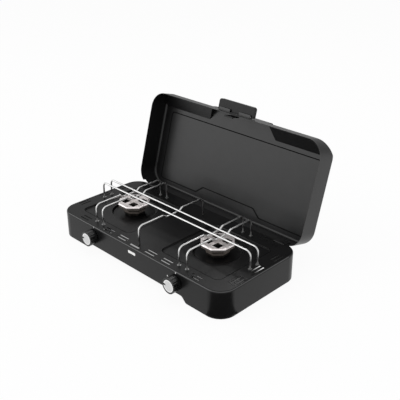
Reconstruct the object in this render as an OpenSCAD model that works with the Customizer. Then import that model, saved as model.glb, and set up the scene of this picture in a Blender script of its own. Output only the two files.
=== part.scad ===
// Two-burner camping stove with a hinged lid, standing open.
// Millimetres. X runs to the right, Y to the back and Z up from the table.

/* [Base tray] */
// Width of the tray
base_w = 510; // [470:1:560]
// Depth of the tray, front to back
base_d = 238.4; // [226:0.2:256]
// Height of the tray's skirt
skirt_h = 61.5; // [56:0.5:72]
// Plan radius of the tray's corners
base_corner_r = 37; // [26:1:44]
// Radius along the tray's top edge
base_edge_r = 4; // [2.5:0.5:6]
// Thickness of the sheet steel in tray and lid
sheet_t = 0.8; // [0.6:0.1:1]
// Half length of the raised part of the front skirt's lower edge
notch_half = 146; // [110:1:150]
// Height of the raised part of the front skirt's lower edge
notch_h = 12; // [8:0.5:15]
// Length of the curve at each end of the raised part
notch_ramp = 17; // [14:1:26]
// Side of the inturned plate in each lower corner
corner_plate = 44; // [40:1:52]
// Radius of a rubber foot
foot_r = 8; // [6:0.5:9]
// Height that a rubber foot stands below the skirt
foot_h = 1.5; // [1:0.1:4]
// Radius of a foot's plug
foot_plug_r = 4; // [3:0.5:5]
// Height of the lip that holds a foot's plug
foot_lip_h = 1.4; // [1:0.1:2]
// Reach of that lip past the plug
foot_lip = 1; // [0.6:0.1:1.5]
// Distance of a foot's centre from the skirt, both ways
foot_inset = 28; // [24:1:32]

/* [Hob] */
// Distance of each burner from the tray's side
burner_side = 123; // [117:1:129]
// Place of the burner line behind the tray's middle
burner_y = 1; // [-3:0.5:4]
// Width of the pressed recess round a burner
recess_w = 166; // [150:1:172]
// Reach of the recess in front of the burner line
recess_front = 87; // [80:1:90]
// Reach of the recess behind the burner line
recess_rear = 78; // [70:1:82]
// Plan radius of the recess's corners
recess_corner_r = 14; // [9:1:24]
// Outer bend radius of the recess's step
recess_bend = 1.9; // [1.5:0.1:3]
// Radius of the round dish under a burner, at its inner wall
dish_r = 50; // [46:1:56]
// Outer bend radius of the dish's step
dish_bend = 3.4; // [2:0.1:4.2]
// Length of a slot in the hob
slot_l = 28; // [18:1:34]
// Width of a slot in the hob
slot_w = 3.2; // [2.4:0.2:4]
// Distance of the outer row of slots from the tray's edge
slot_edge = 10; // [8:0.5:11]
// Distance between the two rows of slots
slot_pitch = 9; // [7:0.5:10]
// Distance from the tray's side to the outer slots of the front and rear rows
slot_far_side = 81; // [80:1:87]
// Distance from a burner's line to the next slots of the front row
slot_mid_gap = 40; // [34:1:48]
// Distance from the middle to the inner slots of the front row
slot_near_x = 45; // [34:1:48]
// Distance between the slots of the side rows
slot_side_step = 59; // [46:1:62]
// Length of the bare badge on the front skirt
badge_l = 22.5; // [16:0.5:40]
// Height of the bare badge
badge_h = 5.8; // [4:0.2:8]
// Radius of the badge's corners
badge_corner_r = 1.4; // [0.8:0.2:1.8]
// Thickness of the bare badge
badge_t = 0.6; // [0.4:0.1:1]
// Depth of the badge's middle below the hob
badge_drop = 13; // [10:0.5:20]

/* [Burner heads] */
// Height of the burner cap's top above the hob
cap_top = 20; // [16:0.5:24]
// Radius of the burner cap across its flats
cap_r = 35; // [32:0.5:38]
// Thickness of the burner cap's plate
cap_t = 2.4; // [1.8:0.1:3]
// Height of the cap's bevelled rim
cap_rim_h = 4.6; // [3.4:0.2:5]
// Reach of the cap's skirt down into the cup
cap_skirt_l = 4; // [3:0.5:6]
// Side of the four square windows in the burner cap
window_w = 11.6; // [9:0.2:13]
// Width of the cap's rim past the cup's lip
cap_overhang = 1; // [0.6:0.2:2]
// Radius of the burner cup at its foot
cup_foot_r = 20.5; // [20:0.1:23]
// Wall of the burner cup
cup_t = 1.2; // [1:0.1:1.6]
// Distance from the burner's axis to its screws
screw_x = 15; // [14.6:0.1:15.4]
// Radius of a burner screw's shank
screw_r = 1.5; // [1.2:0.1:1.6]
// Radius of a burner screw's head
screw_head_r = 2.8; // [2.4:0.1:2.8]
// Height of a burner screw's head
screw_head_h = 1.8; // [1.2:0.1:2.4]
// Length of the cup's throat below the dish
throat_l = 3; // [2:0.5:3.5]

/* [Pan supports] */
// Diameter of the support wire
wire_d = 4; // [3.2:0.2:4.6]
// Distance between the two wires of a pair, and between the two long wires
pair_gap = 22.4; // [18:0.2:26]
// Height of the short wires' flats above the hob
flat_z = 41; // [38:0.5:43]
// Height of the long wires above the hob
long_z = 39; // [36:0.5:41]
// Gap between crossing wires
cross_gap = 0.15; // [0.05:0.05:0.3]
// Distance from the tray's side to a long wire's feet
long_foot_side = 25.3; // [24:0.1:31]
// Reach of the short wires in front of the burner line
short_front = 98.8; // [97:0.2:101]
// Reach of the short wires behind the burner line
short_rear = 91; // [88:0.2:93]
// Middle of the dip in a short wire, from the burner line
dip_y = -2; // [-4:0.5:0]
// Half length of the dip's bottom
dip_half = 19.4; // [16:0.2:21]
// Bend radius at a dip
dip_bend = 6; // [4.5:1.5:9]
// Bend radius at a wire's upper corners
wire_bend = 11; // [8:0.5:13]
// Length of wire below the hob
wire_foot = 5; // [4:0.5:8]
// Outer radius of the washers at a wire's foot
washer_r = 4.2; // [3.6:0.2:5]
// Thickness of the washers
washer_t = 0.8; // [0.6:0.1:1.2]

/* [Gas fittings] */
// Depth of the knob and valve axis below the hob
valve_drop = 25; // [24:0.5:27]
// Radius of the valve's body
valve_r = 8; // [7:0.5:9]
// Length of the valve's body behind the skirt
valve_l = 26; // [22:1:27]
// Radius of the threaded nose through the skirt
nose_r = 5.5; // [4.5:0.5:6]
// Length of the nose in front of the skirt
nose_l = 3.2; // [2.6:0.2:3.6]
// Width across the flats of the valve's nut
nut_af = 15; // [14:0.5:16]
// Thickness of the valve's nut
nut_t = 2.2; // [1.8:0.1:2.4]
// Radius of the valve's stem
stem_r = 3; // [2.4:0.1:3.6]
// Radius of the gas rail
rail_r = 4; // [3.4:0.2:4.4]
// Wall of the gas rail
rail_wall = 0.9; // [0.7:0.1:1.2]
// Depth of the gas rail below the valve's axis
rail_drop = 13; // [12.6:0.2:14]
// Distance of the gas rail behind the skirt
rail_back = 14; // [12:0.5:16]
// Distance from the tray's side to the rail's run to the back
inlet_side = 50; // [43:1:55]
// Bend radius of the gas rail
rail_bend = 18; // [14:1:24]
// Radius of the hose spigot
spigot_r = 5; // [4:0.25:5.5]
// Length of the hose spigot
spigot_l = 20; // [14:1:26]
// Radius of the mixing tube
mix_r = 9.5; // [8.5:0.25:10]
// Wall of the mixing tube
mix_wall = 0.8; // [0.6:0.1:1]
// Radius of the mixing tube's bend at its middle line
mix_bend = 12; // [11:0.5:12.5]
// Gap between injector and mixing tube, where air is drawn in
air_gap = 4; // [3:0.5:8]
// Length of the injector
injector_l = 8; // [6:0.5:10]
// Radius of the injector
injector_r = 4; // [3.4:0.2:5]
// Radius of the injector's jet
jet_r = 0.4; // [0.3:0.05:0.6]
// Length of the injector's tapered nose, and its fall in radius
injector_nose = 2; // [1:0.5:2.5]
// Length of the mixing tube's bell mouth
bell_l = 8; // [6:0.5:12]
// Flare of the bell mouth past the tube
bell_flare = 2; // [1:0.5:3]
// Thickness of the mixing tube's plate
mix_plate_t = 2; // [1.5:0.1:3]
// Half length of the mixing tube's plate
mix_plate_half = 21; // [19:0.5:26]
// Radius of the plate's corners
mix_plate_corner_r = 4; // [2:0.5:6]
// Half length of the valve's saddle on the rail
saddle_half = 8; // [6:0.5:9]
// Wall of the saddle round the rail
saddle_wall = 3; // [2:0.5:3.5]
// Run of the rail past the right valve's saddle
rail_over = 6; // [3:1:12]
// Length of the rail's plug inside the rail
plug_l = 6; // [4:0.5:10]
// Thickness of the plug's head
plug_head_t = 3; // [2:0.5:5]
// Overhang of the plug's head past the rail
plug_lip = 1; // [0.5:0.5:2]
// Length of the inlet's body inside the skirt
socket_l = 14; // [12:1:20]
// Depth of the inlet's socket for the rail
socket_depth = 6; // [4:0.5:8]
// Wall of the inlet's body past the spigot
socket_wall = 3; // [2:0.5:4]
// Length of the inlet's thread from the skirt's inner face
thread_l = 5; // [4:0.5:8]
// Height of the inlet's thread past the spigot
thread_wall = 1; // [0.8:0.1:1.5]
// Width of the inlet's nut past its thread
inlet_nut_wall = 2.5; // [2:0.5:3.5]
// Thickness of the inlet's nut
inlet_nut_t = 3; // [2:0.5:3]
// Distance of the rail's brackets from the middle
bracket_x = 68.5; // [66:0.5:71]
// Width of a rail bracket
bracket_w = 12; // [8:1:13]
// Thickness of a rail bracket's strap
strap_t = 1.5; // [1:0.1:2]
// Place of the side bracket behind the burner line
side_bracket_y = 45; // [30:1:60]

/* [Knobs] */
// Radius of a knob
knob_r = 17; // [15:0.5:18.5]
// Distance of a knob's face in front of the skirt
knob_reach = 19.6; // [18:0.2:22]
// Gap between knob and skirt
knob_gap = 1.4; // [1:0.2:2.4]
// Radius of the bright disc in the knob's face
face_r = 15; // [12:0.5:15.6]
// Thickness of the bright disc
face_t = 1; // [0.8:0.1:1.4]
// Flutes round a knob
flute_count = 14; // [10:1:18]
// Radius of a flute
flute_r = 2.4; // [1.6:0.2:2.6]
// Depth of a flute
flute_depth = 1; // [0.6:0.1:1.2]
// Thickness of the knob's web behind the bright disc
knob_web = 2.4; // [1.6:0.2:4]
// Room in the knob round the valve's nut and nose
cavity_gap = 1; // [0.6:0.2:1.6]
// Length of the pointer's notch in the bright disc
pointer_l = 4; // [3:0.5:6]
// Width of the pointer's notch
pointer_w = 2; // [1:0.2:3]
// Distance from the stem's end to the valve's rear
stem_stop = 8; // [6:1:12]
// Length of the knob's plain collar at the skirt
collar_l = 3; // [2:0.5:4]

/* [Lid] */
// Depth of the lid, rim to back
lid_h = 51; // [49:0.5:58]
// Inset of the lid's rim from the tray's edge
lid_inset = 3.6; // [3:0.2:5]
// Gap under the closed lid's rim
lid_gap = 0.5; // [0.4:0.1:1]
// Plan radius of the lid's corners
lid_corner_r = 38; // [30:1:44]
// Radius along the lid's back edge
lid_edge_r = 6; // [4:0.5:8]
// Opening angle of the lid in the photographed pose
lid_open = 105.6; // [98:0.1:108]
// Height above the rim at which the front bevel starts
bevel_n = 32; // [30:0.5:36]
// Length of the front bevel across the lid's back
bevel_run = 34.4; // [28:0.2:36]
// Distance from the middle to the bevel at the front wall
bevel_x0 = 83; // [70:1:90]
// Distance from the middle to the bevel at its inner edge
bevel_x1 = 100; // [92:1:110]
// Height of the relief in the rear rim
relief_h = 8; // [7:0.5:10]
// Reach of the relief from the lid's rear
relief_d = 8; // [7:0.5:10]
// Distance from the lid's sides to the relief's ends
relief_side = 15.4; // [13.4:0.2:19.4]
// Width of the pressed line round the lid's panel
groove_w = 2.4; // [1.6:0.2:3]
// Depth of the pressed line
groove_t = 0.3; // [0.2:0.05:0.4]
// Distance of the pressed line from the lid's sides
groove_side = 25; // [22:1:30]
// Distance of the pressed line from the lid's front
groove_front = 44; // [42:1:50]
// Distance of the pressed line from the lid's rear
groove_rear = 15; // [13:0.5:18]
// Depth of the step in the pressed line at the rear
groove_step = 17; // [12:0.5:20]
// Half length of the step at its foot
step_foot = 99; // [90:1:110]
// Half length of the step at its top
step_top = 78; // [70:1:84]

/* [Lid hinges] */
// Distance of each hinge from the tray's side
hinge_side = 52; // [51:0.5:57]
// Distance of the hinge axis from the tray's rear
hinge_setback = 5.7; // [5.4:0.1:6.2]
// Depth of the hinge axis below the hob
hinge_drop = 2; // [1.8:0.1:2.4]
// Radius of the hinge pin
hinge_pin_r = 1.5; // [1.2:0.1:1.6]
// Radius of the hinge's knuckles
knuckle_r = 3.4; // [3:0.1:3.6]
// Width of the lid's hinge arm
arm_w = 19.4; // [16:0.2:20]
// Thickness of the lid's hinge arm
arm_t = 1.4; // [1.2:0.1:1.6]
// Height of the lid's hinge arm above the rim
arm_h = 27; // [22:1:32]
// Thickness of the hinge bracket's ears
ear_t = 2.6; // [2:0.2:3]
// Thickness of the hinge bracket's leaf
leaf_t = 1.2; // [1:0.1:1.6]
// Length of the hinge bracket's leaf under the hob
leaf_l = 15; // [12:0.5:18]
// Room at each side of a hinge in the tray's cutout
cutout_gap = 1.4; // [1:0.1:2]
// Room between a hinge's knuckles and the front of the cutout
cutout_reach = 3.6; // [3:0.2:5]
// Length of the ears' root along the leaf
ear_root = 4; // [3:0.5:6]
// Half distance between a bracket's two rivets
bracket_rivet_x = 4.5; // [3.5:0.5:6]
// Distance of an arm's rivets from the ends of its riveted length
arm_rivet_end = 4; // [3.4:0.2:5]
// Radius of a rivet's shank
rivet_r = 1.6; // [1.2:0.1:1.8]
// Radius of a rivet's head
rivet_head_r = 2.8; // [2.4:0.1:3.2]
// Height of a rivet's head
rivet_head_h = 0.9; // [0.6:0.1:1.2]

/* [Latch] */
// Height of the latch pivot above the lid's rim
latch_n = 17; // [15:0.5:19]
// Distance of the latch pivot in front of the lid
latch_out = 4.4; // [4.2:0.1:5]
// Width of the flap's legs beside the latch bracket
leg_w = 6; // [4:0.5:9]
// Gap between the flap's legs and the lid
leg_gap = 1.4; // [1.3:0.1:2]
// Reach of the flap in front of the lid
flap_reach = 25.6; // [22:0.2:30]
// Thickness of the flap
flap_t = 1.5; // [1.2:0.1:1.8]
// Height of the return round the flap
flap_return = 8; // [5:0.5:9]
// Plan radius of the flap's outer corners
flap_corner_r = 6; // [3:0.5:8]
// Half width of the latch's hook
hook_half = 12; // [9:0.5:12.5]
// Distance of the hook behind the lid's front
hook_in = 5; // [4.6:0.1:5.6]
// Thickness of the hook
hook_t = 1.6; // [1.4:0.1:2]
// Length of the hook's tooth
tooth_l = 2; // [1.8:0.1:2.2]
// Height of the hook's tooth
tooth_h = 2.8; // [2:0.2:3.4]
// Bite of the tooth under the hob
tooth_bite = 0.9; // [0.7:0.1:1.1]
// Room for the hook to swing forward in its slot
hook_room = 2.4; // [2.3:0.1:2.8]
// Radius of the latch's knuckles
latch_knuckle_r = 2.8; // [2.4:0.1:2.8]
// Distance from the middle to a latch knuckle
latch_knuckle_x = 23; // [22:0.5:25]
// Width of a latch knuckle
latch_knuckle_w = 10; // [8:0.5:11]
// Width of a latch bracket's ear
latch_ear_w = 2.5; // [2:0.1:2.8]
// Thickness of the latch bracket
latch_bracket_t = 1.2; // [1:0.1:1.2]
// Height of the latch bracket
latch_bracket_h = 10; // [9:0.5:12]
// Distance from the middle to the flap's stop shelf, and to the rivet above it
shelf_x = 40; // [37:0.5:41]
// Width of a stop shelf
shelf_w = 8; // [5:0.5:8]
// Height of the bracket's lip in front of the knuckles, and reach of the stop shelves
lip_h = 7.5; // [6.5:0.1:8.5]
// Height of the bracket's rivets above the pins
latch_rivet_z = 2.5; // [2:0.1:3]
// Room at the sides of the hook in its window
window_gap_x = 1.5; // [1:0.1:2]
// Room above and below the hook in its window
window_gap_z = 1.75; // [1.25:0.05:2]
// Radius of the latch pins
latch_pin_r = 1.5; // [1.2:0.1:1.6]
// Half width of the latch's bracket
bracket_half = 46; // [44:0.5:48]

/* [Clearances] */
// Radial clearance of a turning shaft in its bore
run_gap = 0.05; // [0.03:0.01:0.08]
// Radial clearance of a pressed or screwed shaft
press_gap = 0.02; // [0.01:0.01:0.05]
// Clearance between neighbouring pieces that move past each other
side_gap = 0.3; // [0.3:0.05:0.5]
// Radial clearance of a hole that a piece passes through
hole_gap = 0.2; // [0.1:0.05:0.4]

/* [Hidden] */
$fn = 64;
cut = 1;
// Overlap that joins a straight run to a slanting bend
weld = 0.000001;
notch_steps = 12;
far = 400;
hob_z = foot_h + skirt_h;
skirt_y = -base_d / 2;
rear_y = base_d / 2;
side_x = base_w / 2;
burner_x = side_x - burner_side;
slot_far_x = side_x - slot_far_side;
slot_mid_x = burner_x - slot_mid_gap;
long_foot_x = side_x - long_foot_side;
inlet_x = side_x - inlet_side;
hinge_x = side_x - hinge_side;
recess_depth = 2 * recess_bend - sheet_t;
dish_depth = 2 * dish_bend - sheet_t;
recess_floor = hob_z - recess_depth;
dish_floor = recess_floor - dish_depth;
recess_d = recess_front + recess_rear;
recess_mid_y = burner_y + (recess_rear - recess_front) / 2;
cup_r = cap_r - cap_overhang;
cup_rise = hob_z + cap_top - cap_rim_h - dish_floor;
cup_taper = (cup_r - cup_foot_r) / cup_rise;
cap_skirt_r = cup_r - cup_t - cup_taper * (cap_skirt_l + cup_t) - side_gap;
window_far = (cap_skirt_r - cup_t) / sqrt(2) - side_gap;
throat_r = mix_r - mix_wall - press_gap;
throat_hole_r = throat_r + hole_gap;
valve_z = hob_z - valve_drop;
valve_y = skirt_y + sheet_t;
valve_rear = valve_y + valve_l;
mix_mouth = valve_rear + injector_l + air_gap;
bell_r = mix_r + bell_flare;
rail_y = valve_y + rail_back;
rail_z = valve_z - rail_drop;
wire_r = wire_d / 2;
dip_z = long_z - wire_d - cross_gap;
// A dip's slope runs four along for three down
dip_run = (flat_z - dip_z) * 4 / 3;
knob_front = skirt_y - knob_reach;
knob_rear = skirt_y - knob_gap;
knob_cavity_r = nut_af / 2 / cos(30) + cavity_gap;
knob_cavity_front = skirt_y - nose_l - cavity_gap;
stem_front = knob_front + face_t + knob_web;
stem_rear = valve_rear - stem_stop;
lid_w = base_w - 2 * lid_inset;
lid_d = base_d - 2 * lid_inset;
relief_x = lid_w / 2 - relief_side;
lid_z = hob_z + lid_gap;
lid_top = lid_z + lid_h;
lid_front = -lid_d / 2;
lid_rear = lid_d / 2;
bevel_deg = atan2(lid_h - bevel_n, bevel_run);
hinge_y = rear_y - hinge_setback;
hinge_z = hob_z - hinge_drop;
arm_y = lid_rear - sheet_t - arm_t;
arm_foot = knuckle_r / 2;
ear_x = arm_w / 2 + side_gap;
cutout_half = ear_x + ear_t + cutout_gap;
cutout_front = hinge_y - knuckle_r - cutout_reach;
latch_y = lid_front - latch_out;
latch_z = lid_z + latch_n;
flap_root = latch_y - latch_knuckle_r - side_gap;
flap_front = lid_front - flap_reach;
flap_half = bracket_half + leg_w;
latch_ear_end = latch_knuckle_x + latch_knuckle_w / 2 + side_gap + latch_ear_w;
hook_y = lid_front + hook_in;
hook_foot = hob_z - sheet_t - side_gap - tooth_h;
catch_rear = hook_y + hook_t + tooth_l - tooth_bite;
catch_front = hook_y - hook_room;
arm_rivet_zs = [lid_z + relief_h + arm_rivet_end, lid_z + arm_h - arm_rivet_end];
// Edge that leans back furthest when the lid stands open, and the frame's place from it
edge_dy = lid_front + lid_edge_r - hinge_y;
edge_dz = lid_top - lid_edge_r - hinge_z;
lean_y = hinge_y + edge_dy * cos(lid_open) + edge_dz * sin(lid_open) + lid_edge_r;
frame_y = (knob_front + lean_y) / 2;

SIDES = [-1, 1];

// Frame of the whole stove: the middle of its box on the table
module stove() {
  translate([0, -frame_y, 0]) children();
}

// Pieces drawn on the closed lid, swung open about the hinge axis
module on_lid() {
  stove() translate([0, hinge_y, hinge_z]) rotate([-lid_open, 0, 0])
    translate([0, -hinge_y, -hinge_z]) children();
}

// Axis of the valve and knob on one side, with local Z along +Y of the stove
module on_valve(side, y) {
  stove() translate([side * burner_x, y, valve_z]) rotate([-90, 0, 0]) children();
}

// Upright axis of the burner on one side
module on_burner(side, z) {
  stove() translate([side * burner_x, burner_y, z]) children();
}

// Plan of a rectangle with round corners
module round_rect(w, d, r) {
  square([w, d - 2 * r], center = true);
  square([w - 2 * r, d], center = true);
  for (x = SIDES)
    for (y = SIDES)
      translate([x * (w / 2 - r), y * (d / 2 - r)]) circle(r);
}

// A profile carried round a rectangle with round corners, the profile's zero at the corner's centre
module round_sweep(w, d, r) {
  for (s = SIDES) {
    rotate([0, 0, 90 - 90 * s])
      translate([w / 2 - r, d / 2 - r, 0]) rotate([90, 0, 0]) linear_extrude(d - 2 * r) children();
    rotate([0, 0, 90 * s])
      translate([d / 2 - r, w / 2 - r, 0]) rotate([90, 0, 0]) linear_extrude(w - 2 * r) children();
  }
  for (x = SIDES)
    for (y = SIDES)
      translate([x * (w / 2 - r), y * (d / 2 - r), 0])
        rotate([0, 0, x > 0 ? 45 * (y - 1) : 135 - 45 * y])
          rotate_extrude(angle = 90) children();
}

// Half section of a solid block with a rounded upper edge
module edge_profile(r, h, f) {
  square([r - f, h]);
  square([r, h - f]);
  translate([r - f, h - f]) circle(f);
}

// Solid block with round corners and a rounded upper edge
module tray_block(w, d, h, r, f) {
  translate([-w / 2 + r, -d / 2 + r, 0]) cube([w - 2 * r, d - 2 * r, h]);
  round_sweep(w, d, r) edge_profile(r, h, f);
}

// Section of a pressed step in sheet of thickness t: two quarter rings, top at zero height,
// going down towards the middle, with its upper end at radius r + bend
module step_profile(r, bend, t) {
  inner = bend - t;
  intersection() {
    translate([r + bend, -bend]) difference() {
      circle(bend);
      circle(inner);
    }
    translate([r, -bend]) square([bend, bend]);
  }
  intersection() {
    translate([r - inner, -bend]) difference() {
      circle(bend);
      circle(inner);
    }
    translate([r - inner, -2 * bend]) square([bend, bend]);
  }
}

// Rod along points in the local XY plane, with round bends, each run drawn from a bend
module bent_rod(points, bends, r) {
  last = len(points) - 1;
  dirs = [for (i = [0:last - 1]) points[i + 1] - points[i]];
  angs = [for (v = dirs) atan2(v[1], v[0])];
  turns = [for (i = [0:last]) i == 0 || i == last ? 0 : turn_between(angs[i - 1], angs[i])];
  trims = [for (i = [0:last]) bends[i] * tan(abs(turns[i]) / 2)];
  ends = [for (i = [0:last]) trims[i] - (turns[i] % 90 == 0 ? 0 : weld)];
  translate(points[1]) rotate([0, 0, angs[0]]) translate([-ends[1], 0, 0]) rotate([0, -90, 0])
    cylinder(r = r, h = norm(dirs[0]) - ends[1]);
  for (i = [1:last - 1])
    translate(points[i]) rotate([0, 0, angs[i]]) translate([ends[i], 0, 0]) rotate([0, 90, 0])
      cylinder(r = r, h = norm(dirs[i]) - ends[i] - ends[i + 1]);
  for (i = [1:last - 1])
    translate(points[i]) rotate([0, 0, angs[i - 1]]) translate([-trims[i], sign(turns[i]) * bends[i], 0])
      rotate([0, 0, turns[i] > 0 ? -90 : 90 + turns[i]])
        rotate_extrude(angle = abs(turns[i])) translate([bends[i], 0]) circle(r);
}

function turn_between(a, b) = b - a > 180 ? b - a - 360 : b - a < -180 ? b - a + 360 : b - a;

// Plan of one slot, along X
module slot_plan(l, w) {
  square([l - w, w], center = true);
  for (s = SIDES)
    translate([s * (l - w) / 2, 0]) circle(w / 2);
}

// Round-ended slots in two rows at one place along an edge
module slot_pair() {
  for (row = [0, 1])
    translate([0, slot_edge + row * slot_pitch]) slot_plan(slot_l, slot_w);
}

// Plan of all the slots in the hob
module hob_slots() {
  for (s = SIDES) {
    for (x = [slot_near_x, slot_mid_x, slot_far_x])
      translate([s * x, skirt_y]) slot_pair();
    translate([s * slot_far_x, rear_y]) mirror([0, 1]) slot_pair();
    for (k = [-1, 0, 1])
      translate([s * side_x, k * slot_side_step]) rotate(90 * s) slot_pair();
  }
  translate([0, (catch_front + catch_rear) / 2]) square([slot_l, catch_rear - catch_front], center = true);
}

// Front view of the raised part of the front skirt's lower edge, with curved ends
module skirt_notch() {
  ramp = [
    for (i = [0:notch_steps])
      [notch_half + notch_ramp * i / notch_steps, notch_h * (1 + cos(180 * i / notch_steps)) / 2]
  ];
  left = [for (i = [notch_steps:-1:0]) [-ramp[i][0], ramp[i][1]]];
  polygon(concat(
    [[-notch_half - notch_ramp, -cut]], left, ramp, [[notch_half + notch_ramp, -cut]]
  ));
}

// Places of the wires' feet: [x, y] of the paired and long wires, then of the middle wire
function short_feet(x) = [[x, burner_y - short_front], [x, burner_y + short_rear]];
pair_xs = [for (s = SIDES) for (k = SIDES) s * burner_x + k * pair_gap / 2];
clipped_feet = [
  for (x = pair_xs) for (p = short_feet(x)) p,
  for (s = SIDES) for (k = SIDES) [s * long_foot_x, burner_y + k * pair_gap / 2]
];
all_feet = concat(clipped_feet, short_feet(0));
foot_xy = [for (x = SIDES) for (y = SIDES) [x * (side_x - foot_inset), y * (rear_y - foot_inset)]];

// Pressed recess and dish of one burner, in the sheet
module burner_well() {
  translate([0, recess_mid_y - burner_y, hob_z])
    round_sweep(recess_w, recess_d, recess_corner_r)
      step_profile(recess_corner_r - recess_bend, recess_bend, sheet_t);
  difference() {
    translate([0, recess_mid_y - burner_y, recess_floor - sheet_t])
      linear_extrude(sheet_t) round_rect(
        recess_w - 4 * recess_bend + 2 * sheet_t, recess_d - 4 * recess_bend + 2 * sheet_t,
        recess_corner_r - 2 * recess_bend + sheet_t);
    translate([0, 0, recess_floor - sheet_t - cut])
      cylinder(r = dish_r + dish_bend, h = sheet_t + 2 * cut);
  }
  translate([0, 0, recess_floor]) rotate_extrude() step_profile(dish_r, dish_bend, sheet_t);
  translate([0, 0, dish_floor - sheet_t])
    cylinder(r = dish_r - dish_bend + sheet_t, h = sheet_t);
}

// Base: one pressed tray, open underneath, with the wells, slots and holes
module base_shell() {
  color("#39393b") stove() difference() {
    union() {
      difference() {
        translate([0, 0, foot_h])
          tray_block(base_w, base_d, skirt_h, base_corner_r, base_edge_r);
        translate([0, 0, foot_h - cut])
          tray_block(base_w - 2 * sheet_t, base_d - 2 * sheet_t, skirt_h - sheet_t + cut,
            base_corner_r - sheet_t, base_edge_r - sheet_t);
        for (s = SIDES)
          translate([s * burner_x, recess_mid_y, hob_z - sheet_t - cut])
            linear_extrude(sheet_t + 2 * cut) round_rect(recess_w, recess_d, recess_corner_r);
      }
      for (s = SIDES)
        translate([s * burner_x, burner_y, 0]) burner_well();
      translate([0, 0, foot_h]) linear_extrude(sheet_t) intersection() {
        round_rect(base_w - sheet_t, base_d - sheet_t, base_corner_r - sheet_t / 2);
        for (x = SIDES)
          for (y = SIDES)
            translate([x * side_x, y * rear_y]) square(2 * corner_plate, center = true);
      }
    }
    translate([0, 0, hob_z - base_edge_r]) linear_extrude(base_edge_r + cut) hob_slots();
    translate([0, skirt_y + base_edge_r, foot_h]) rotate([90, 0, 0])
      linear_extrude(base_edge_r + cut) skirt_notch();
    for (p = all_feet)
      translate([p[0], p[1], hob_z - sheet_t - cut])
        cylinder(r = wire_r + hole_gap, h = sheet_t + 2 * cut);
    for (p = foot_xy)
      translate([p[0], p[1], foot_h - cut]) cylinder(r = foot_plug_r + press_gap, h = sheet_t + 2 * cut);
    for (s = SIDES) {
      translate([s * burner_x, skirt_y - cut, valve_z]) rotate([-90, 0, 0])
        cylinder(r = nose_r + hole_gap, h = sheet_t + 2 * cut);
      translate([s * burner_x, burner_y, dish_floor - sheet_t - cut])
        cylinder(r = throat_hole_r, h = sheet_t + 2 * cut);
      for (k = SIDES)
        translate([s * burner_x + k * screw_x, burner_y, dish_floor - sheet_t - cut])
          cylinder(r = screw_r + hole_gap, h = sheet_t + 2 * cut);
      translate([s * hinge_x - cutout_half, cutout_front, stop_z()])
        cube([2 * cutout_half, rear_y - cutout_front + cut, hob_z - stop_z() + cut]);
      for (k = SIDES)
        translate([s * hinge_x + k * bracket_rivet_x, rivet_y(), hob_z - sheet_t - cut])
          cylinder(r = rivet_r + press_gap, h = sheet_t + 2 * cut);
    }
    translate([-inlet_x, rear_y - sheet_t - cut, rail_z]) rotate([-90, 0, 0])
      cylinder(r = spigot_r + thread_wall + hole_gap, h = sheet_t + 2 * cut);
  }
}

// Height at which the open lid's arm meets the sill of its cutout in the rear skirt
function stop_z() =
  hinge_z - (lid_rear - sheet_t - hinge_y) * sin(lid_open) - side_gap
  + (rear_y - hinge_y - (lid_rear - sheet_t - hinge_y) * cos(lid_open)) / tan(lid_open);

// Place of the rivets through the hob and the hinge bracket's leaf
function rivet_y() = cutout_front - leaf_l / 2;

// Bare pale plate on the front skirt
module front_badge() {
  color("#e4e4e2") stove() translate([0, skirt_y, hob_z - badge_drop]) rotate([90, 0, 0])
    linear_extrude(badge_t) round_rect(badge_l, badge_h, badge_corner_r);
}

// Four rubber feet plugged into the corner plates
module rubber_feet() {
  color("#1d1d1d") stove()
    for (p = foot_xy)
      translate([p[0], p[1], 0]) {
        cylinder(r = foot_r, h = foot_h);
        cylinder(r = foot_plug_r, h = foot_h + sheet_t + foot_lip_h);
        translate([0, 0, foot_h + sheet_t]) cylinder(r = foot_plug_r + foot_lip, h = foot_lip_h);
      }
}

// Eight-sided flaring form of the burner cup, with radius r at its foot
module cup_form(r) {
  rotate([0, 0, 180 / 8])
    cylinder(h = cup_rise, r1 = r / cos(180 / 8), r2 = (r + cup_r - cup_foot_r) / cos(180 / 8), $fn = 8);
}

// Burner cup: foot on the dish, flaring eight-sided wall, and a throat into the mixing tube
module burner_cup(side) {
  color("#6b6259") on_burner(side, dish_floor) difference() {
    union() {
      translate([0, 0, -throat_l]) cylinder(r = throat_r, h = throat_l + cup_t);
      cup_form(cup_foot_r);
    }
    translate([0, 0, cup_t]) cup_form(cup_foot_r - cup_t);
    translate([0, 0, -throat_l - cut]) cylinder(r = throat_r - cup_t, h = throat_l + cup_t + 2 * cut);
    for (k = SIDES)
      translate([k * screw_x, 0, -cut]) cylinder(r = screw_r + hole_gap, h = cup_t + 2 * cut);
  }
}

// Eight-sided plate of the burner cap, with radius r across its flats
module cap_plate(r, h) {
  rotate([0, 0, 180 / 8]) cylinder(r = r / cos(180 / 8), h = h, $fn = 8);
}

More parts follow.
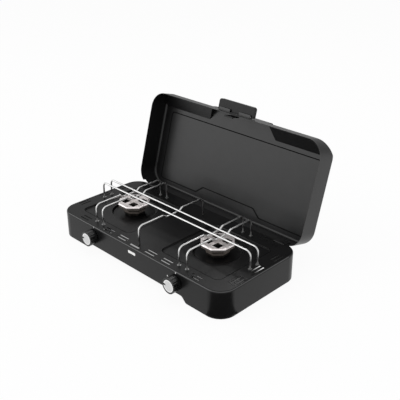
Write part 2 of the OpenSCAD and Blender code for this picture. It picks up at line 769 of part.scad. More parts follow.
// Burner cap: eight-sided bevelled rim, four square windows, and a skirt inside the cup
module burner_cap(side) {
  reach = cap_rim_h + cap_skirt_l - cap_t;
  mid = window_far - window_w / 2;
  color("#c9c4bf") on_burner(side, hob_z + cap_top) {
    difference() {
      union() {
        translate([0, 0, -cap_t]) cap_plate(cap_r - cap_t, cap_t);
        translate([0, 0, -cap_rim_h]) cap_plate(cap_r, cap_rim_h - cap_t / 2);
      }
      translate([0, 0, -cap_rim_h - cut]) cylinder(r = cap_skirt_r, h = cap_rim_h - cap_t + cut);
      for (x = SIDES)
        for (y = SIDES)
          translate([x * mid, y * mid, 0]) cube([window_w, window_w, 2 * (cap_t + cut)], center = true);
    }
    translate([0, 0, -cap_rim_h - cap_skirt_l]) difference() {
      cylinder(r = cap_skirt_r, h = reach);
      translate([0, 0, -cut]) cylinder(r = cap_skirt_r - cup_t, h = reach + 2 * cut);
    }
  }
}

// Screws that clamp cup, dish and mixing tube together
module burner_screws() {
  grip = cup_t + sheet_t + mix_plate_t;
  color("#b9b9b9")
    for (s = SIDES)
      on_burner(s, dish_floor)
        for (k = SIDES)
          translate([k * screw_x, 0, 0]) {
            translate([0, 0, cup_t - grip]) cylinder(r = screw_r, h = grip);
            translate([0, 0, cup_t]) cylinder(r = screw_head_r, h = screw_head_h);
          }
}

// Mixing tube: bell mouth at the injector, bend under the burner, and a plate below the dish
module mixing_tube(side) {
  pipe_top = dish_floor - sheet_t;
  color("#8d8f92") stove() translate([side * burner_x, 0, 0]) difference() {
    union() {
      mixing_solid(mix_r, bell_r, 0);
      translate([0, burner_y, pipe_top - mix_plate_t]) linear_extrude(mix_plate_t)
        round_rect(2 * mix_plate_half, 2 * mix_r, mix_plate_corner_r);
    }
    mixing_solid(mix_r - mix_wall, bell_r - mix_wall, cut);
    for (k = SIDES)
      translate([k * screw_x, burner_y, pipe_top - mix_plate_t - cut])
        cylinder(r = screw_r + press_gap, h = mix_plate_t + 2 * cut);
  }
}

// Outer or inner form of the mixing tube, run on by extra at both ends
module mixing_solid(r, mouth_r, extra) {
  bend_y = burner_y - mix_bend;
  pipe_top = dish_floor - sheet_t;
  mouth = bend_y - mix_mouth + weld;
  translate([0, mix_mouth, valve_z]) rotate([-90, 0, 0]) rotate_extrude() polygon([
    [0, -extra], [mouth_r, -extra], [mouth_r, 0], [r, bell_l], [r, mouth], [0, mouth]
  ]);
  translate([0, bend_y, valve_z + mix_bend]) rotate([90, 0, 90]) rotate([0, 0, -90])
    rotate_extrude(angle = 90) translate([mix_bend, 0]) circle(r);
  translate([0, burner_y, valve_z + mix_bend - weld])
    cylinder(r = r, h = pipe_top - valve_z - mix_bend + extra + weld);
}

// Brass injector in the valve's rear end
module injector(side) {
  color("#b08d3f") on_valve(side, valve_rear) difference() {
    rotate_extrude() polygon([
      [0, 0], [injector_r, 0], [injector_r, injector_l - injector_nose],
      [injector_r - injector_nose, injector_l], [0, injector_l]
    ]);
    translate([0, 0, -cut]) cylinder(r = jet_r, h = injector_l + 2 * cut);
  }
}

// Brass valve: body, threaded nose through the skirt, and a saddle on the gas rail
module valve(side) {
  color("#b08d3f") stove() translate([side * burner_x, 0, 0]) difference() {
    union() {
      translate([0, valve_y, valve_z]) rotate([-90, 0, 0]) cylinder(r = valve_r, h = valve_l);
      translate([0, valve_y - sheet_t - nose_l, valve_z]) rotate([-90, 0, 0])
        cylinder(r = nose_r, h = nose_l + sheet_t + cut);
      translate([-saddle_half, rail_y - rail_r - saddle_wall, rail_z - rail_r - saddle_wall])
        cube([2 * saddle_half, 2 * (rail_r + saddle_wall), valve_z - rail_z + rail_r + saddle_wall]);
    }
    translate([0, valve_y - sheet_t - nose_l - cut, valve_z]) rotate([-90, 0, 0])
      cylinder(r = stem_r + run_gap, h = stem_rear + side_gap - valve_y + sheet_t + nose_l + cut);
    translate([-saddle_half - cut, rail_y, rail_z]) rotate([0, 90, 0])
      cylinder(r = rail_r + press_gap, h = 2 * (saddle_half + cut));
  }
}

// Six-sided nuts that hold the valves in the front skirt
module valve_nuts() {
  color("#b9b9b9")
    for (s = SIDES)
      on_valve(s, skirt_y - nut_t) difference() {
        cylinder(r = nut_af / 2 / cos(30), h = nut_t, $fn = 6);
        translate([0, 0, -cut]) cylinder(r = nose_r + press_gap, h = nut_t + 2 * cut);
      }
}

// Path of the gas rail in plan: along the front, then back to the inlet
rail_end_x = burner_x + saddle_half + rail_over;
rail_inlet_y = rear_y - sheet_t - socket_l + socket_depth;
rail_path = [[rail_end_x, rail_y], [-inlet_x, rail_y], [-inlet_x, rail_inlet_y]];

// Steel gas rail
module gas_rail() {
  color("#a9adb1") stove() translate([0, 0, rail_z]) difference() {
    bent_rod(rail_path, [0, rail_bend, 0], rail_r);
    bent_rod(rail_path, [0, rail_bend, 0], rail_r - rail_wall);
  }
}

// Plug in the rail's closed end
module rail_plug() {
  color("#b08d3f") stove() translate([rail_end_x, rail_y, rail_z]) rotate([0, 90, 0]) {
    cylinder(r = rail_r + plug_lip, h = plug_head_t);
    translate([0, 0, -plug_l]) cylinder(r = rail_r - rail_wall - press_gap, h = plug_l + cut);
  }
}

// One bracket between hob and rail, seen along the rail, with the rail's axis at the origin
module rail_bracket(rise) {
  difference() {
    union() {
      rotate([0, 90, 0]) cylinder(r = rail_r + strap_t, h = bracket_w, center = true);
      translate([-bracket_w / 2, -strap_t / 2, 0]) cube([bracket_w, strap_t, rise]);
      translate([-bracket_w / 2, -strap_t / 2, rise - strap_t]) cube([bracket_w, bracket_w, strap_t]);
    }
    rotate([0, 90, 0]) cylinder(r = rail_r + press_gap, h = bracket_w + 2 * cut, center = true);
  }
}

// Brackets that hang the rail under the hob
module rail_brackets() {
  color("#8d8f92") stove() {
    for (s = SIDES)
      translate([s * bracket_x, rail_y, rail_z]) rail_bracket(hob_z - sheet_t - rail_z);
    translate([-inlet_x, burner_y + side_bracket_y, rail_z]) rotate([0, 0, -90])
      rail_bracket(recess_floor - sheet_t - rail_z);
  }
}

// Gas inlet: socket on the rail, thread through the rear skirt, and a plain hose spigot
module gas_inlet() {
  color("#b08d3f") stove() translate([-inlet_x, rear_y - sheet_t, rail_z]) rotate([-90, 0, 0])
    difference() {
      union() {
        translate([0, 0, -socket_l]) cylinder(r = spigot_r + socket_wall, h = socket_l);
        translate([0, 0, -cut]) cylinder(r = spigot_r + thread_wall, h = thread_l + cut);
        cylinder(r = spigot_r, h = thread_l + spigot_l);
      }
      translate([0, 0, -socket_l - cut]) cylinder(r = rail_r + press_gap, h = socket_depth + cut);
      translate([0, 0, -socket_l]) cylinder(r = rail_r - rail_wall, h = socket_l + thread_l + spigot_l + cut);
    }
}

// Nut on the inlet's thread behind the rear skirt
module inlet_nut() {
  color("#b9b9b9") stove() translate([-inlet_x, rear_y, rail_z]) rotate([-90, 0, 0]) difference() {
    cylinder(r = (spigot_r + thread_wall + inlet_nut_wall) / cos(30), h = inlet_nut_t, $fn = 6);
    translate([0, 0, -cut]) cylinder(r = spigot_r + thread_wall + press_gap, h = inlet_nut_t + 2 * cut);
  }
}

// Long wire along X, at one side of the burner line
module long_wire(k) {
  foot = hob_z - wire_foot;
  path = [
    [-long_foot_x, foot], [-long_foot_x, hob_z + long_z], [long_foot_x, hob_z + long_z], [long_foot_x, foot]
  ];
  color("#d4d5d6") stove() translate([0, burner_y + k * pair_gap / 2, 0]) rotate([90, 0, 0])
    bent_rod(path, [0, wire_bend, wire_bend, 0], wire_r);
}

// Short wire along Y at x, dipping under the long wires
module short_wire(x) {
  foot = hob_z - wire_foot;
  high = hob_z + flat_z;
  low = hob_z + dip_z;
  path = [
    [-short_front, foot], [-short_front, high],
    [dip_y - dip_half - dip_run, high], [dip_y - dip_half, low],
    [dip_y + dip_half, low], [dip_y + dip_half + dip_run, high],
    [short_rear, high], [short_rear, foot]
  ];
  color("#d4d5d6") stove() translate([x, burner_y, 0]) rotate([90, 0, 90])
    bent_rod(path, [0, wire_bend, dip_bend, dip_bend, dip_bend, dip_bend, wire_bend, 0], wire_r);
}

// Ring round a wire's foot
module foot_ring(p, z) {
  translate([p[0], p[1], z]) difference() {
    cylinder(r = washer_r, h = washer_t);
    translate([0, 0, -cut]) cylinder(r = wire_r + press_gap, h = washer_t + 2 * cut);
  }
}

// Bright clips on the hob at the feet of the paired and long wires
module wire_clips() {
  color("#d9dadb") stove()
    for (p = clipped_feet)
      foot_ring(p, hob_z);
}

// Push nuts under the hob at every wire's foot
module wire_push_nuts() {
  color("#b9b9b9") stove()
    for (p = all_feet)
      foot_ring(p, hob_z - sheet_t - washer_t);
}

// Hinge bracket of the tray: leaf under the hob and two ears with the pin's holes
module hinge_bracket(side) {
  leaf_top = hob_z - sheet_t;
  color("#4a4a4c") stove() translate([side * hinge_x, 0, 0]) difference() {
    union() {
      translate([-ear_x - ear_t, cutout_front - leaf_l, leaf_top - leaf_t])
        cube([2 * (ear_x + ear_t), leaf_l, leaf_t]);
      for (k = SIDES)
        translate([k * (ear_x + ear_t / 2) - ear_t / 2, 0, 0]) {
          translate([0, hinge_y, hinge_z]) rotate([0, 90, 0]) cylinder(r = knuckle_r, h = ear_t);
          translate([0, cutout_front - ear_root, hinge_z - knuckle_r])
            cube([ear_t, hinge_y - cutout_front + ear_root, leaf_top - hinge_z + knuckle_r]);
        }
    }
    translate([-ear_x - ear_t - cut, hinge_y, hinge_z]) rotate([0, 90, 0])
      cylinder(r = hinge_pin_r + press_gap, h = 2 * (ear_x + ear_t + cut));
    for (k = SIDES)
      translate([k * bracket_rivet_x, rivet_y(), leaf_top - leaf_t - cut])
        cylinder(r = rivet_r + press_gap, h = leaf_t + 2 * cut);
  }
}

// Hinge pin across both ears
module hinge_pin(side) {
  color("#c4c6c8") stove() translate([side * hinge_x - ear_x - ear_t, hinge_y, hinge_z])
    rotate([0, 90, 0]) cylinder(r = hinge_pin_r, h = 2 * (ear_x + ear_t));
}

// Rivet along Z through a grip that starts at zero, with a head at both ends
module rivet(grip) {
  cylinder(r = rivet_r, h = grip);
  translate([0, 0, -rivet_head_h]) cylinder(r = rivet_head_r, h = rivet_head_h);
  translate([0, 0, grip]) cylinder(r = rivet_head_r, h = rivet_head_h);
}

// Rivets through hob and hinge brackets
module bracket_rivets() {
  color("#4a4a4c") stove()
    for (s = SIDES)
      for (k = SIDES)
        translate([s * hinge_x + k * bracket_rivet_x, rivet_y(), hob_z - sheet_t - leaf_t])
          rivet(sheet_t + leaf_t);
}

// Room cut off the lid's front edge on one side, moved into the sheet by inset
module bevel_room(side, inset) {
  lean = (bevel_x1 - bevel_x0) / bevel_run;
  run_on = 20;
  intersection() {
    translate([0, lid_front, lid_z + bevel_n]) rotate([bevel_deg, 0, 0])
      translate([-far, -far / 4, -inset]) cube([2 * far, far / 2, far / 4]);
    translate([0, 0, lid_z]) linear_extrude(2 * lid_h) mirror([side < 0 ? 1 : 0, 0]) polygon([
      [bevel_x0 - run_on * lean - inset, lid_front - run_on],
      [bevel_x1 + run_on * lean - inset, lid_front + bevel_run + run_on],
      [far, lid_front + bevel_run + run_on],
      [far, lid_front - run_on]
    ]);
  }
}

// Outline of the pressed line in the lid's panel, moved inwards by d
function groove_outline(d) =
  let(
    x = lid_w / 2 - groove_side - d,
    front = lid_front + groove_front + d,
    rear = lid_rear - groove_rear - d
  )
  [
    [-x, front], [x, front], [x, rear], [step_foot + d, rear], [step_top + d, rear - groove_step],
    [-step_top - d, rear - groove_step], [-step_foot - d, rear], [-x, rear]
  ];

// Lid: one pressed tray with a bevelled front edge, a latch window and a relieved rear rim
module lid_shell() {
  color("#3d3d3f") on_lid() difference() {
    translate([0, 0, lid_z]) tray_block(lid_w, lid_d, lid_h, lid_corner_r, lid_edge_r);
    for (s = SIDES)
      bevel_room(s, 0);
    difference() {
      translate([0, 0, lid_z - cut])
        tray_block(lid_w - 2 * sheet_t, lid_d - 2 * sheet_t, lid_h - sheet_t + cut,
          lid_corner_r - sheet_t, lid_edge_r - sheet_t);
      for (s = SIDES)
        bevel_room(s, sheet_t);
    }
    translate([-relief_x, lid_rear - relief_d, lid_z - cut])
      cube([2 * relief_x, relief_d + cut, relief_h + cut]);
    translate([0, 0, lid_top - sheet_t - cut]) linear_extrude(groove_t + cut) difference() {
      polygon(groove_outline(0));
      polygon(groove_outline(groove_w));
    }
    translate([0, lid_front - cut, latch_z]) latch_window(sheet_t + 2 * cut);
    for (s = SIDES) {
      translate([s * shelf_x, lid_front - cut, latch_z + latch_rivet_z])
        rotate([-90, 0, 0]) cylinder(r = rivet_r + press_gap, h = sheet_t + 2 * cut);
      for (z = arm_rivet_zs)
        translate([s * hinge_x, lid_rear - sheet_t - cut, z])
          rotate([-90, 0, 0]) cylinder(r = rivet_r + press_gap, h = sheet_t + 2 * cut);
    }
  }
}

// Window for the latch's hook, through a thickness t along Y
module latch_window(t) {
  half = hook_half + window_gap_x;
  high = flap_t + 2 * window_gap_z;
  translate([-half, 0, -high / 2]) cube([2 * half, t, high]);
}

// Lid's hinge arm: knuckle on the pin and a strap riveted inside the lid's rear wall
module hinge_arm(side) {
  color("#4a4a4c") on_lid() translate([side * hinge_x - arm_w / 2, 0, 0]) difference() {
    union() {
      translate([0, hinge_y, hinge_z]) rotate([0, 90, 0]) cylinder(r = knuckle_r, h = arm_w);
      translate([0, arm_y, hinge_z + arm_foot]) cube([arm_w, arm_t, lid_z + arm_h - hinge_z - arm_foot]);
    }
    translate([-cut, hinge_y, hinge_z]) rotate([0, 90, 0])
      cylinder(r = hinge_pin_r + run_gap, h = arm_w + 2 * cut);
    for (z = arm_rivet_zs)
      translate([arm_w / 2, arm_y - cut, z]) rotate([-90, 0, 0])
        cylinder(r = rivet_r + press_gap, h = arm_t + 2 * cut);
  }
}

// Rivets through the lid's rear wall and the hinge arms
module arm_rivets() {
  color("#4a4a4c") on_lid()
    for (s = SIDES)
      for (z = arm_rivet_zs)
        translate([s * hinge_x, arm_y, z]) rotate([-90, 0, 0])
          rivet(arm_t + sheet_t);
}

// Latch bracket on the lid's front wall: plate, ears for the pins, a lip in front of them, and
// shelves as the flap's stop
module latch_bracket() {
  plate_y = lid_front - latch_bracket_t;
  shelf_top = latch_z - flap_t / 2 - side_gap;
  lip_top = latch_z - latch_knuckle_r - side_gap;
  lip_x = hook_half + window_gap_x;
  color("#4a4a4c") on_lid() difference() {
    union() {
      translate([-bracket_half, plate_y, latch_z - latch_bracket_h / 2])
        cube([2 * bracket_half, latch_bracket_t, latch_bracket_h]);
      for (x = latch_ear_xs())
        translate([x - latch_ear_w / 2, 0, 0]) {
          translate([0, latch_y, latch_z]) rotate([0, 90, 0]) cylinder(r = latch_knuckle_r, h = latch_ear_w);
          translate([0, latch_y, latch_z - latch_knuckle_r])
            cube([latch_ear_w, plate_y - latch_y + latch_bracket_t / 2, 2 * latch_knuckle_r]);
        }
      for (s = SIDES) {
        translate([s * shelf_x - shelf_w / 2, lid_front - lip_h, shelf_top - latch_bracket_t])
          cube([shelf_w, lip_h - latch_bracket_t / 2, latch_bracket_t]);
        translate([s > 0 ? lip_x : -bracket_half, lid_front - lip_h, lip_top - latch_bracket_t])
          cube([bracket_half - lip_x, lip_h - latch_bracket_t / 2, latch_bracket_t]);
      }
    }
    translate([0, plate_y - cut, latch_z]) latch_window(latch_bracket_t + 2 * cut);
    for (x = latch_ear_xs())
      translate([x - latch_ear_w, latch_y, latch_z]) rotate([0, 90, 0])
        cylinder(r = latch_pin_r + press_gap, h = 2 * latch_ear_w);
    for (s = SIDES)
      translate([s * shelf_x, plate_y - cut, latch_z + latch_rivet_z])
        rotate([-90, 0, 0]) cylinder(r = rivet_r + press_gap, h = latch_bracket_t + 2 * cut);
  }
}

// Middles of the latch bracket's ears, either side of each knuckle of the lever
function latch_ear_xs() = [
  for (s = SIDES) for (k = SIDES)
    s * latch_knuckle_x + k * (latch_knuckle_w / 2 + side_gap + latch_ear_w / 2)
];

// Two pins through the bracket's ears
module latch_pins() {
  pin_l = latch_knuckle_w + 2 * (side_gap + latch_ear_w);
  color("#c4c6c8") on_lid()
    for (s = SIDES)
      translate([s * latch_knuckle_x - pin_l / 2, latch_y, latch_z]) rotate([0, 90, 0])
        cylinder(r = latch_pin_r, h = pin_l);
}

// Rivets through the lid's front wall and the latch bracket
module latch_rivets() {
  color("#4a4a4c") on_lid()
    for (s = SIDES)
      translate([s * shelf_x, lid_front - latch_bracket_t, latch_z + latch_rivet_z])
        rotate([-90, 0, 0]) rivet(latch_bracket_t + sheet_t);
}

// Latch lever: flap with a return round it outside the lid, knuckles on the pins, and the hook inside
module latch_lever() {
  color("#2c2c2e") on_lid() difference() {
    union() {
      translate([0, 0, latch_z - flap_t / 2]) linear_extrude(flap_t) flap_plate();
      translate([0, 0, latch_z]) linear_extrude(flap_return) difference() {
        flap_plan(0, 0);
        flap_plan(flap_t, cut);
      }
      for (s = SIDES) {
        translate([s * latch_knuckle_x - latch_knuckle_w / 2, latch_y, latch_z]) rotate([0, 90, 0])
          cylinder(r = latch_knuckle_r, h = latch_knuckle_w);
        translate([s * latch_knuckle_x - latch_knuckle_w / 2, flap_root - cut, latch_z - flap_t / 2])
          cube([latch_knuckle_w, latch_y - flap_root + cut, flap_t]);
      }
      translate([-hook_half, flap_root - cut, latch_z - flap_t / 2])
        cube([2 * hook_half, hook_y + hook_t - flap_root + cut, flap_t]);
      translate([-hook_half, hook_y, hook_foot])
        cube([2 * hook_half, hook_t, latch_z + flap_t / 2 - hook_foot]);
      translate([-hook_half, hook_y, hook_foot]) cube([2 * hook_half, hook_t + tooth_l, tooth_h]);
    }
    for (s = SIDES)
      translate([s * latch_knuckle_x - latch_knuckle_w, latch_y, latch_z]) rotate([0, 90, 0])
        cylinder(r = latch_pin_r + run_gap, h = 2 * latch_knuckle_w);
  }
}

// Plan of the flap down to the lid, with its two outer corners round, moved inwards by inset
module flap_plan(inset, extra) {
  half = flap_half - inset;
  r = flap_corner_r - inset;
  y = flap_front + inset;
  depth = lid_front - leg_gap + extra - y;
  translate([-half, y + r]) square([2 * half, depth - r]);
  translate([-half + r, y]) square([2 * (half - r), depth]);
  for (s = SIDES)
    translate([s * (half - r), y + r]) circle(r);
}

// Plan of the flap's plate: legs beside the bracket, and room for the ears, knuckles and hook
module flap_plate() {
  inner = bracket_half + side_gap;
  clear = latch_ear_end + side_gap;
  difference() {
    flap_plan(0, 0);
    translate([-inner, latch_y]) square([2 * inner, latch_out]);
    translate([-clear, flap_root]) square([2 * clear, lid_front - flap_root]);
  }
}

// Knob: fluted cup with a plain collar, a seat for its bright face and the stem's bore
module knob(side) {
  length = knob_rear - knob_front;
  color("#161617") on_valve(side, knob_front) difference() {
    cylinder(r = knob_r, h = length);
    for (k = [0:flute_count - 1])
      rotate([0, 0, 360 * (k + 0.5) / flute_count]) translate([knob_r - flute_depth + flute_r, 0, face_t])
        cylinder(r = flute_r, h = length - face_t - collar_l);
    translate([0, 0, -cut]) cylinder(r = face_r + press_gap, h = face_t + cut);
    translate([0, 0, knob_cavity_front - knob_front]) cylinder(r = knob_cavity_r, h = length);
    translate([0, 0, stem_front - knob_front]) cylinder(r = stem_r + press_gap, h = length);
  }
}

// Bright disc in the knob's face, with its pointer notch at the left
module knob_face(side) {
  color("#d8d9da") on_valve(side, knob_front) difference() {
    cylinder(r = face_r, h = face_t);
    translate([-face_r - cut, -pointer_w / 2, -cut]) cube([pointer_l + cut, pointer_w, face_t / 2 + cut]);
  }
}

// Valve stem from the valve's cone to the knob
module valve_stem(side) {
  color("#c4c6c8") on_valve(side, stem_front) cylinder(r = stem_r, h = stem_rear - stem_front);
}

base_shell();
front_badge();
rubber_feet();
burner_cup(-1);  // burner_cup_left
burner_cup(1);  // burner_cup_right
burner_cap(-1);  // burner_cap_left
burner_cap(1);  // burner_cap_right
burner_screws();
mixing_tube(-1);  // mixing_tube_left
mixing_tube(1);  // mixing_tube_right
injector(-1);  // injector_left
injector(1);  // injector_right
valve(-1);  // valve_left
valve(1);  // valve_right
valve_nuts();
gas_rail();
rail_plug();
rail_brackets();
gas_inlet();
inlet_nut();
long_wire(-1);  // long_wire_front
long_wire(1);  // long_wire_rear
short_wire(-burner_x - pair_gap / 2);  // left_wire_outer
short_wire(-burner_x + pair_gap / 2);  // left_wire_inner
short_wire(0);  // middle_wire
short_wire(burner_x - pair_gap / 2);  // right_wire_inner
short_wire(burner_x + pair_gap / 2);  // right_wire_outer
wire_clips();
wire_push_nuts();
hinge_bracket(-1);  // hinge_bracket_left
hinge_bracket(1);  // hinge_bracket_right
hinge_pin(-1);  // hinge_pin_left
hinge_pin(1);  // hinge_pin_right
bracket_rivets();
lid_shell();
hinge_arm(-1);  // hinge_arm_left
hinge_arm(1);  // hinge_arm_right
arm_rivets();
latch_bracket();
latch_pins();
latch_rivets();
latch_lever();
knob(-1);  // knob_left
knob_face(-1);  // knob_face_left
valve_stem(-1);  // valve_stem_left
knob(1);  // knob_right
knob_face(1);  // knob_face_right
valve_stem(1);  // valve_stem_right
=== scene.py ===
"""Looks of a two-burner camping stove with its lid open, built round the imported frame.

Lengths are millimetres in the tray's own frame, whose Y starts at the tray's middle, unless a line says
otherwise. Pieces of the lid are written for the closed lid and swung open.
"""

import logging
import math
from dataclasses import dataclass
from enum import Enum
from typing import Protocol, Sequence

import bpy
import numpy as np
from mathutils import Matrix, Vector


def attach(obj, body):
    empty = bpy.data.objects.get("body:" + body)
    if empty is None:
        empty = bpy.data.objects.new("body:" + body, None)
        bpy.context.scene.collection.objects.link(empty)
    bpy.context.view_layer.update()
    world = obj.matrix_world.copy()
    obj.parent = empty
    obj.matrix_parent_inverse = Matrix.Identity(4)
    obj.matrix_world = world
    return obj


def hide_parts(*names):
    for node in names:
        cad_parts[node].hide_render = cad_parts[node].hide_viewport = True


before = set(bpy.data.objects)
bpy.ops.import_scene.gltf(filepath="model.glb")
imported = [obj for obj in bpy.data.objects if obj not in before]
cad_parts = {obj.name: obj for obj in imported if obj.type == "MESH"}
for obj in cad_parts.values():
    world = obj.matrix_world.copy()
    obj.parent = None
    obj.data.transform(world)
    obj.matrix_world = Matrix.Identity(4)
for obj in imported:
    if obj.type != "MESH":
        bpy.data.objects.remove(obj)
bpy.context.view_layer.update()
LOG = logging.getLogger("stove")
Material, Object, Socket = bpy.types.Material, bpy.types.Object, bpy.types.NodeSocket
Array = np.ndarray

MM = 0.001
FRAME_Y = 43.223117
HOB_Z = 63.0
KNOB_Z = HOB_Z - 25.0
LID_OPEN_DEG = 105.6
HINGE_Y = 113.5
HINGE_Z = 61.0
BURNER_X = 132.0
BURNER_Y = 1.0
NOISE_SPAN = (0.3, 0.7)
INWARDS = -1.0
BOTH_WAYS = 0.0


class Side(Enum):
    """The stove's two halves, by the sign of X."""

    LEFT = -1
    RIGHT = 1

    @property
    def word(self) -> str:
        """The half's name as it stands in the node names."""
        return self.name.lower()

    @property
    def burner(self) -> Array:
        """The place of this half's burner in plan, at no height."""
        return np.array([self.value * BURNER_X, BURNER_Y, 0.0])


class Body(Enum):
    """The moving groups that the scene's own pieces ride on."""

    BASE = "base"
    LID = "lid"
    KNOB_LEFT = "knob_left"
    KNOB_RIGHT = "knob_right"


def to_frame(points: Array) -> Array:
    """Tray coordinates in millimetres to the frame in metres.

    Args:
        points: an array whose last axis is X, Y, Z.

    Returns:
        The points in the frame.
    """
    return (np.asarray(points, float) - np.array([0.0, FRAME_Y, 0.0])) * MM


def swing_open(points: Array) -> Array:
    """Closed-lid coordinates turned about the hinge axis to the open pose.

    A point at distance (dy, dz) from the axis goes to (dy cos a + dz sin a, -dy sin a + dz cos a).

    Args:
        points: an array whose last axis is X, Y, Z, with the lid closed.

    Returns:
        The points with the lid open.
    """
    points = np.asarray(points, float)
    a = math.radians(LID_OPEN_DEG)
    dy = points[..., 1] - HINGE_Y
    dz = points[..., 2] - HINGE_Z
    y = HINGE_Y + dy * math.cos(a) + dz * math.sin(a)
    z = HINGE_Z - dy * math.sin(a) + dz * math.cos(a)
    return np.stack([points[..., 0], y, z], axis=-1)


def at_height(plan: Array, z: float | Array) -> Array:
    """Points in plan with their heights.

    Args:
        plan: an array whose last axis is X, Y.
        z: one height, or heights that broadcast over the plan's other axes.

    Returns:
        The points with X, Y, Z on their last axis.
    """
    return np.concatenate([plan, np.broadcast_to(z, plan.shape[:-1])[..., None]], -1)


def grid_faces(rows: int, columns: int, closed: bool) -> Array:
    """Quads of a grid of rows by columns, with the columns joined into rings if closed.

    Args:
        rows: points along the path.
        columns: points across it.
        closed: whether the last column meets the first.

    Returns:
        An array of vertex indices, four to a face.
    """
    i, j = np.meshgrid(np.arange(rows - 1), np.arange(columns if closed else columns - 1), indexing="ij")
    k = (j + 1) % columns
    quads = np.stack([i * columns + j, i * columns + k, (i + 1) * columns + k, (i + 1) * columns + j], -1)
    return quads.reshape(-1, 4)


def put_object(name: str, data: bpy.types.ID) -> Object:
    """A new object at the origin of the scene."""
    obj = bpy.data.objects.new(name, data)
    bpy.context.scene.collection.objects.link(obj)
    return obj


def put_mesh(name: str, points: Array, faces: Sequence[Sequence[int]], smooth: bool = True) -> Object:
    """A mesh object from points in the frame.

    Args:
        name: the piece's name.
        points: vertices in metres.
        faces: vertex indices of each face.
        smooth: whether faces are shaded smooth.

    Returns:
        The new object.
    """
    mesh = bpy.data.meshes.new(name)
    vertices = np.asarray(points, float).reshape(-1, 3).tolist()
    mesh.from_pydata(vertices, [], [list(map(int, f)) for f in faces])
    mesh.polygons.foreach_set("use_smooth", np.full(len(mesh.polygons), smooth))
    mesh.validate()
    mesh.update()
    return put_object(name, mesh)


def put_grid(
    name: str, points: Array, closed: bool = False, flip: bool = False, smooth: bool = True
) -> Object:
    """A mesh object from a grid of points.

    Args:
        name: the piece's name.
        points: an array of rows by columns by X, Y, Z.
        closed: whether the last column meets the first.
        flip: whether the faces look the other way.
        smooth: whether faces are shaded smooth.

    Returns:
        The new object.
    """
    faces = grid_faces(*points.shape[:2], closed)
    return put_mesh(name, to_frame(points), faces[:, ::-1] if flip else faces, smooth)


def thicken(obj: Object, sheet: float, offset: float) -> None:
    """Give a surface the thickness of its sheet, inwards or both ways."""
    wall = obj.modifiers.new("wall", "SOLIDIFY")
    wall.thickness = sheet * MM
    wall.offset = offset


def rounded_path(corners: Array, radii: Sequence[float], per_bend: int = 12) -> Array:
    """A planar path through corners with a circular arc of its own radius at each inner corner.

    An arc starts and ends at radius times tan of half the turn from its corner.

    Args:
        corners: corner points in a plane.
        radii: one radius for each corner, ignored at the two ends.
        per_bend: points on each arc.

    Returns:
        The path's points.
    """
    corners = np.asarray(corners, float)
    out = [corners[:1]]
    for before, here, after, radius in zip(corners[:-2], corners[1:-1], corners[2:], radii[1:-1]):
        a = (here - before) / np.linalg.norm(here - before)
        b = (after - here) / np.linalg.norm(after - here)
        turn = math.acos(float(np.clip(a @ b, -1, 1)))
        inward = b - a
        inward /= np.linalg.norm(inward)
        centre = here + inward * radius / math.cos(turn / 2)
        t = np.linspace(-turn / 2, turn / 2, per_bend)[:, None]
        along = a + b
        along /= np.linalg.norm(along)
        out.append(centre + radius * (np.sin(t) * along - np.cos(t) * inward))
    out.append(corners[-1:])
    return np.concatenate(out)


def round_rectangle(width: float, depth: float, radius: float, per_corner: int = 10) -> Array:
    """Outline of a rectangle with round corners about the origin, anticlockwise.

    Each corner is an arc of a quarter turn about a centre that lies one radius inside both sides.

    Args:
        width: size along X.
        depth: size along Y.
        radius: corner radius.
        per_corner: points on each arc.

    Returns:
        The points in the plane, the first not repeated.
    """
    t = np.linspace(0, math.pi / 2, per_corner)[None, :] + np.arange(4)[:, None] * math.pi / 2
    sx, sy = np.array([1, -1, -1, 1])[:, None], np.array([1, 1, -1, -1])[:, None]
    x = sx * (width / 2 - radius) + radius * np.cos(t)
    y = sy * (depth / 2 - radius) + radius * np.sin(t)
    return np.stack([x, y], -1).reshape(-1, 2)


def tube(path: Array, across: Array, radius: float, sides: int = 20) -> tuple[Array, list]:
    """A round tube of constant radius along a planar path, closed at both ends.

    Ring i is the path's point plus radius times (cos t n + sin t b), with b square to the plane.

    Args:
        path: points of the path.
        across: unit vector square to the path's plane.
        radius: the tube's radius.
        sides: points round the tube.

    Returns:
        The points and the faces.
    """
    tangent = np.gradient(path, axis=0)
    tangent /= np.linalg.norm(tangent, axis=1, keepdims=True)
    normal = np.cross(across, tangent)
    t = np.linspace(0, 2 * math.pi, sides, endpoint=False)
    rings = path[:, None] + radius * (
        np.cos(t)[None, :, None] * normal[:, None] + np.sin(t)[None, :, None] * across[None, None]
    )
    rows = len(path)
    faces = grid_faces(rows, sides, True)[:, ::-1].tolist()
    faces.append(list(range(sides)))
    faces.append(list(range((rows - 1) * sides, rows * sides))[::-1])
    return rings.reshape(-1, 3), faces


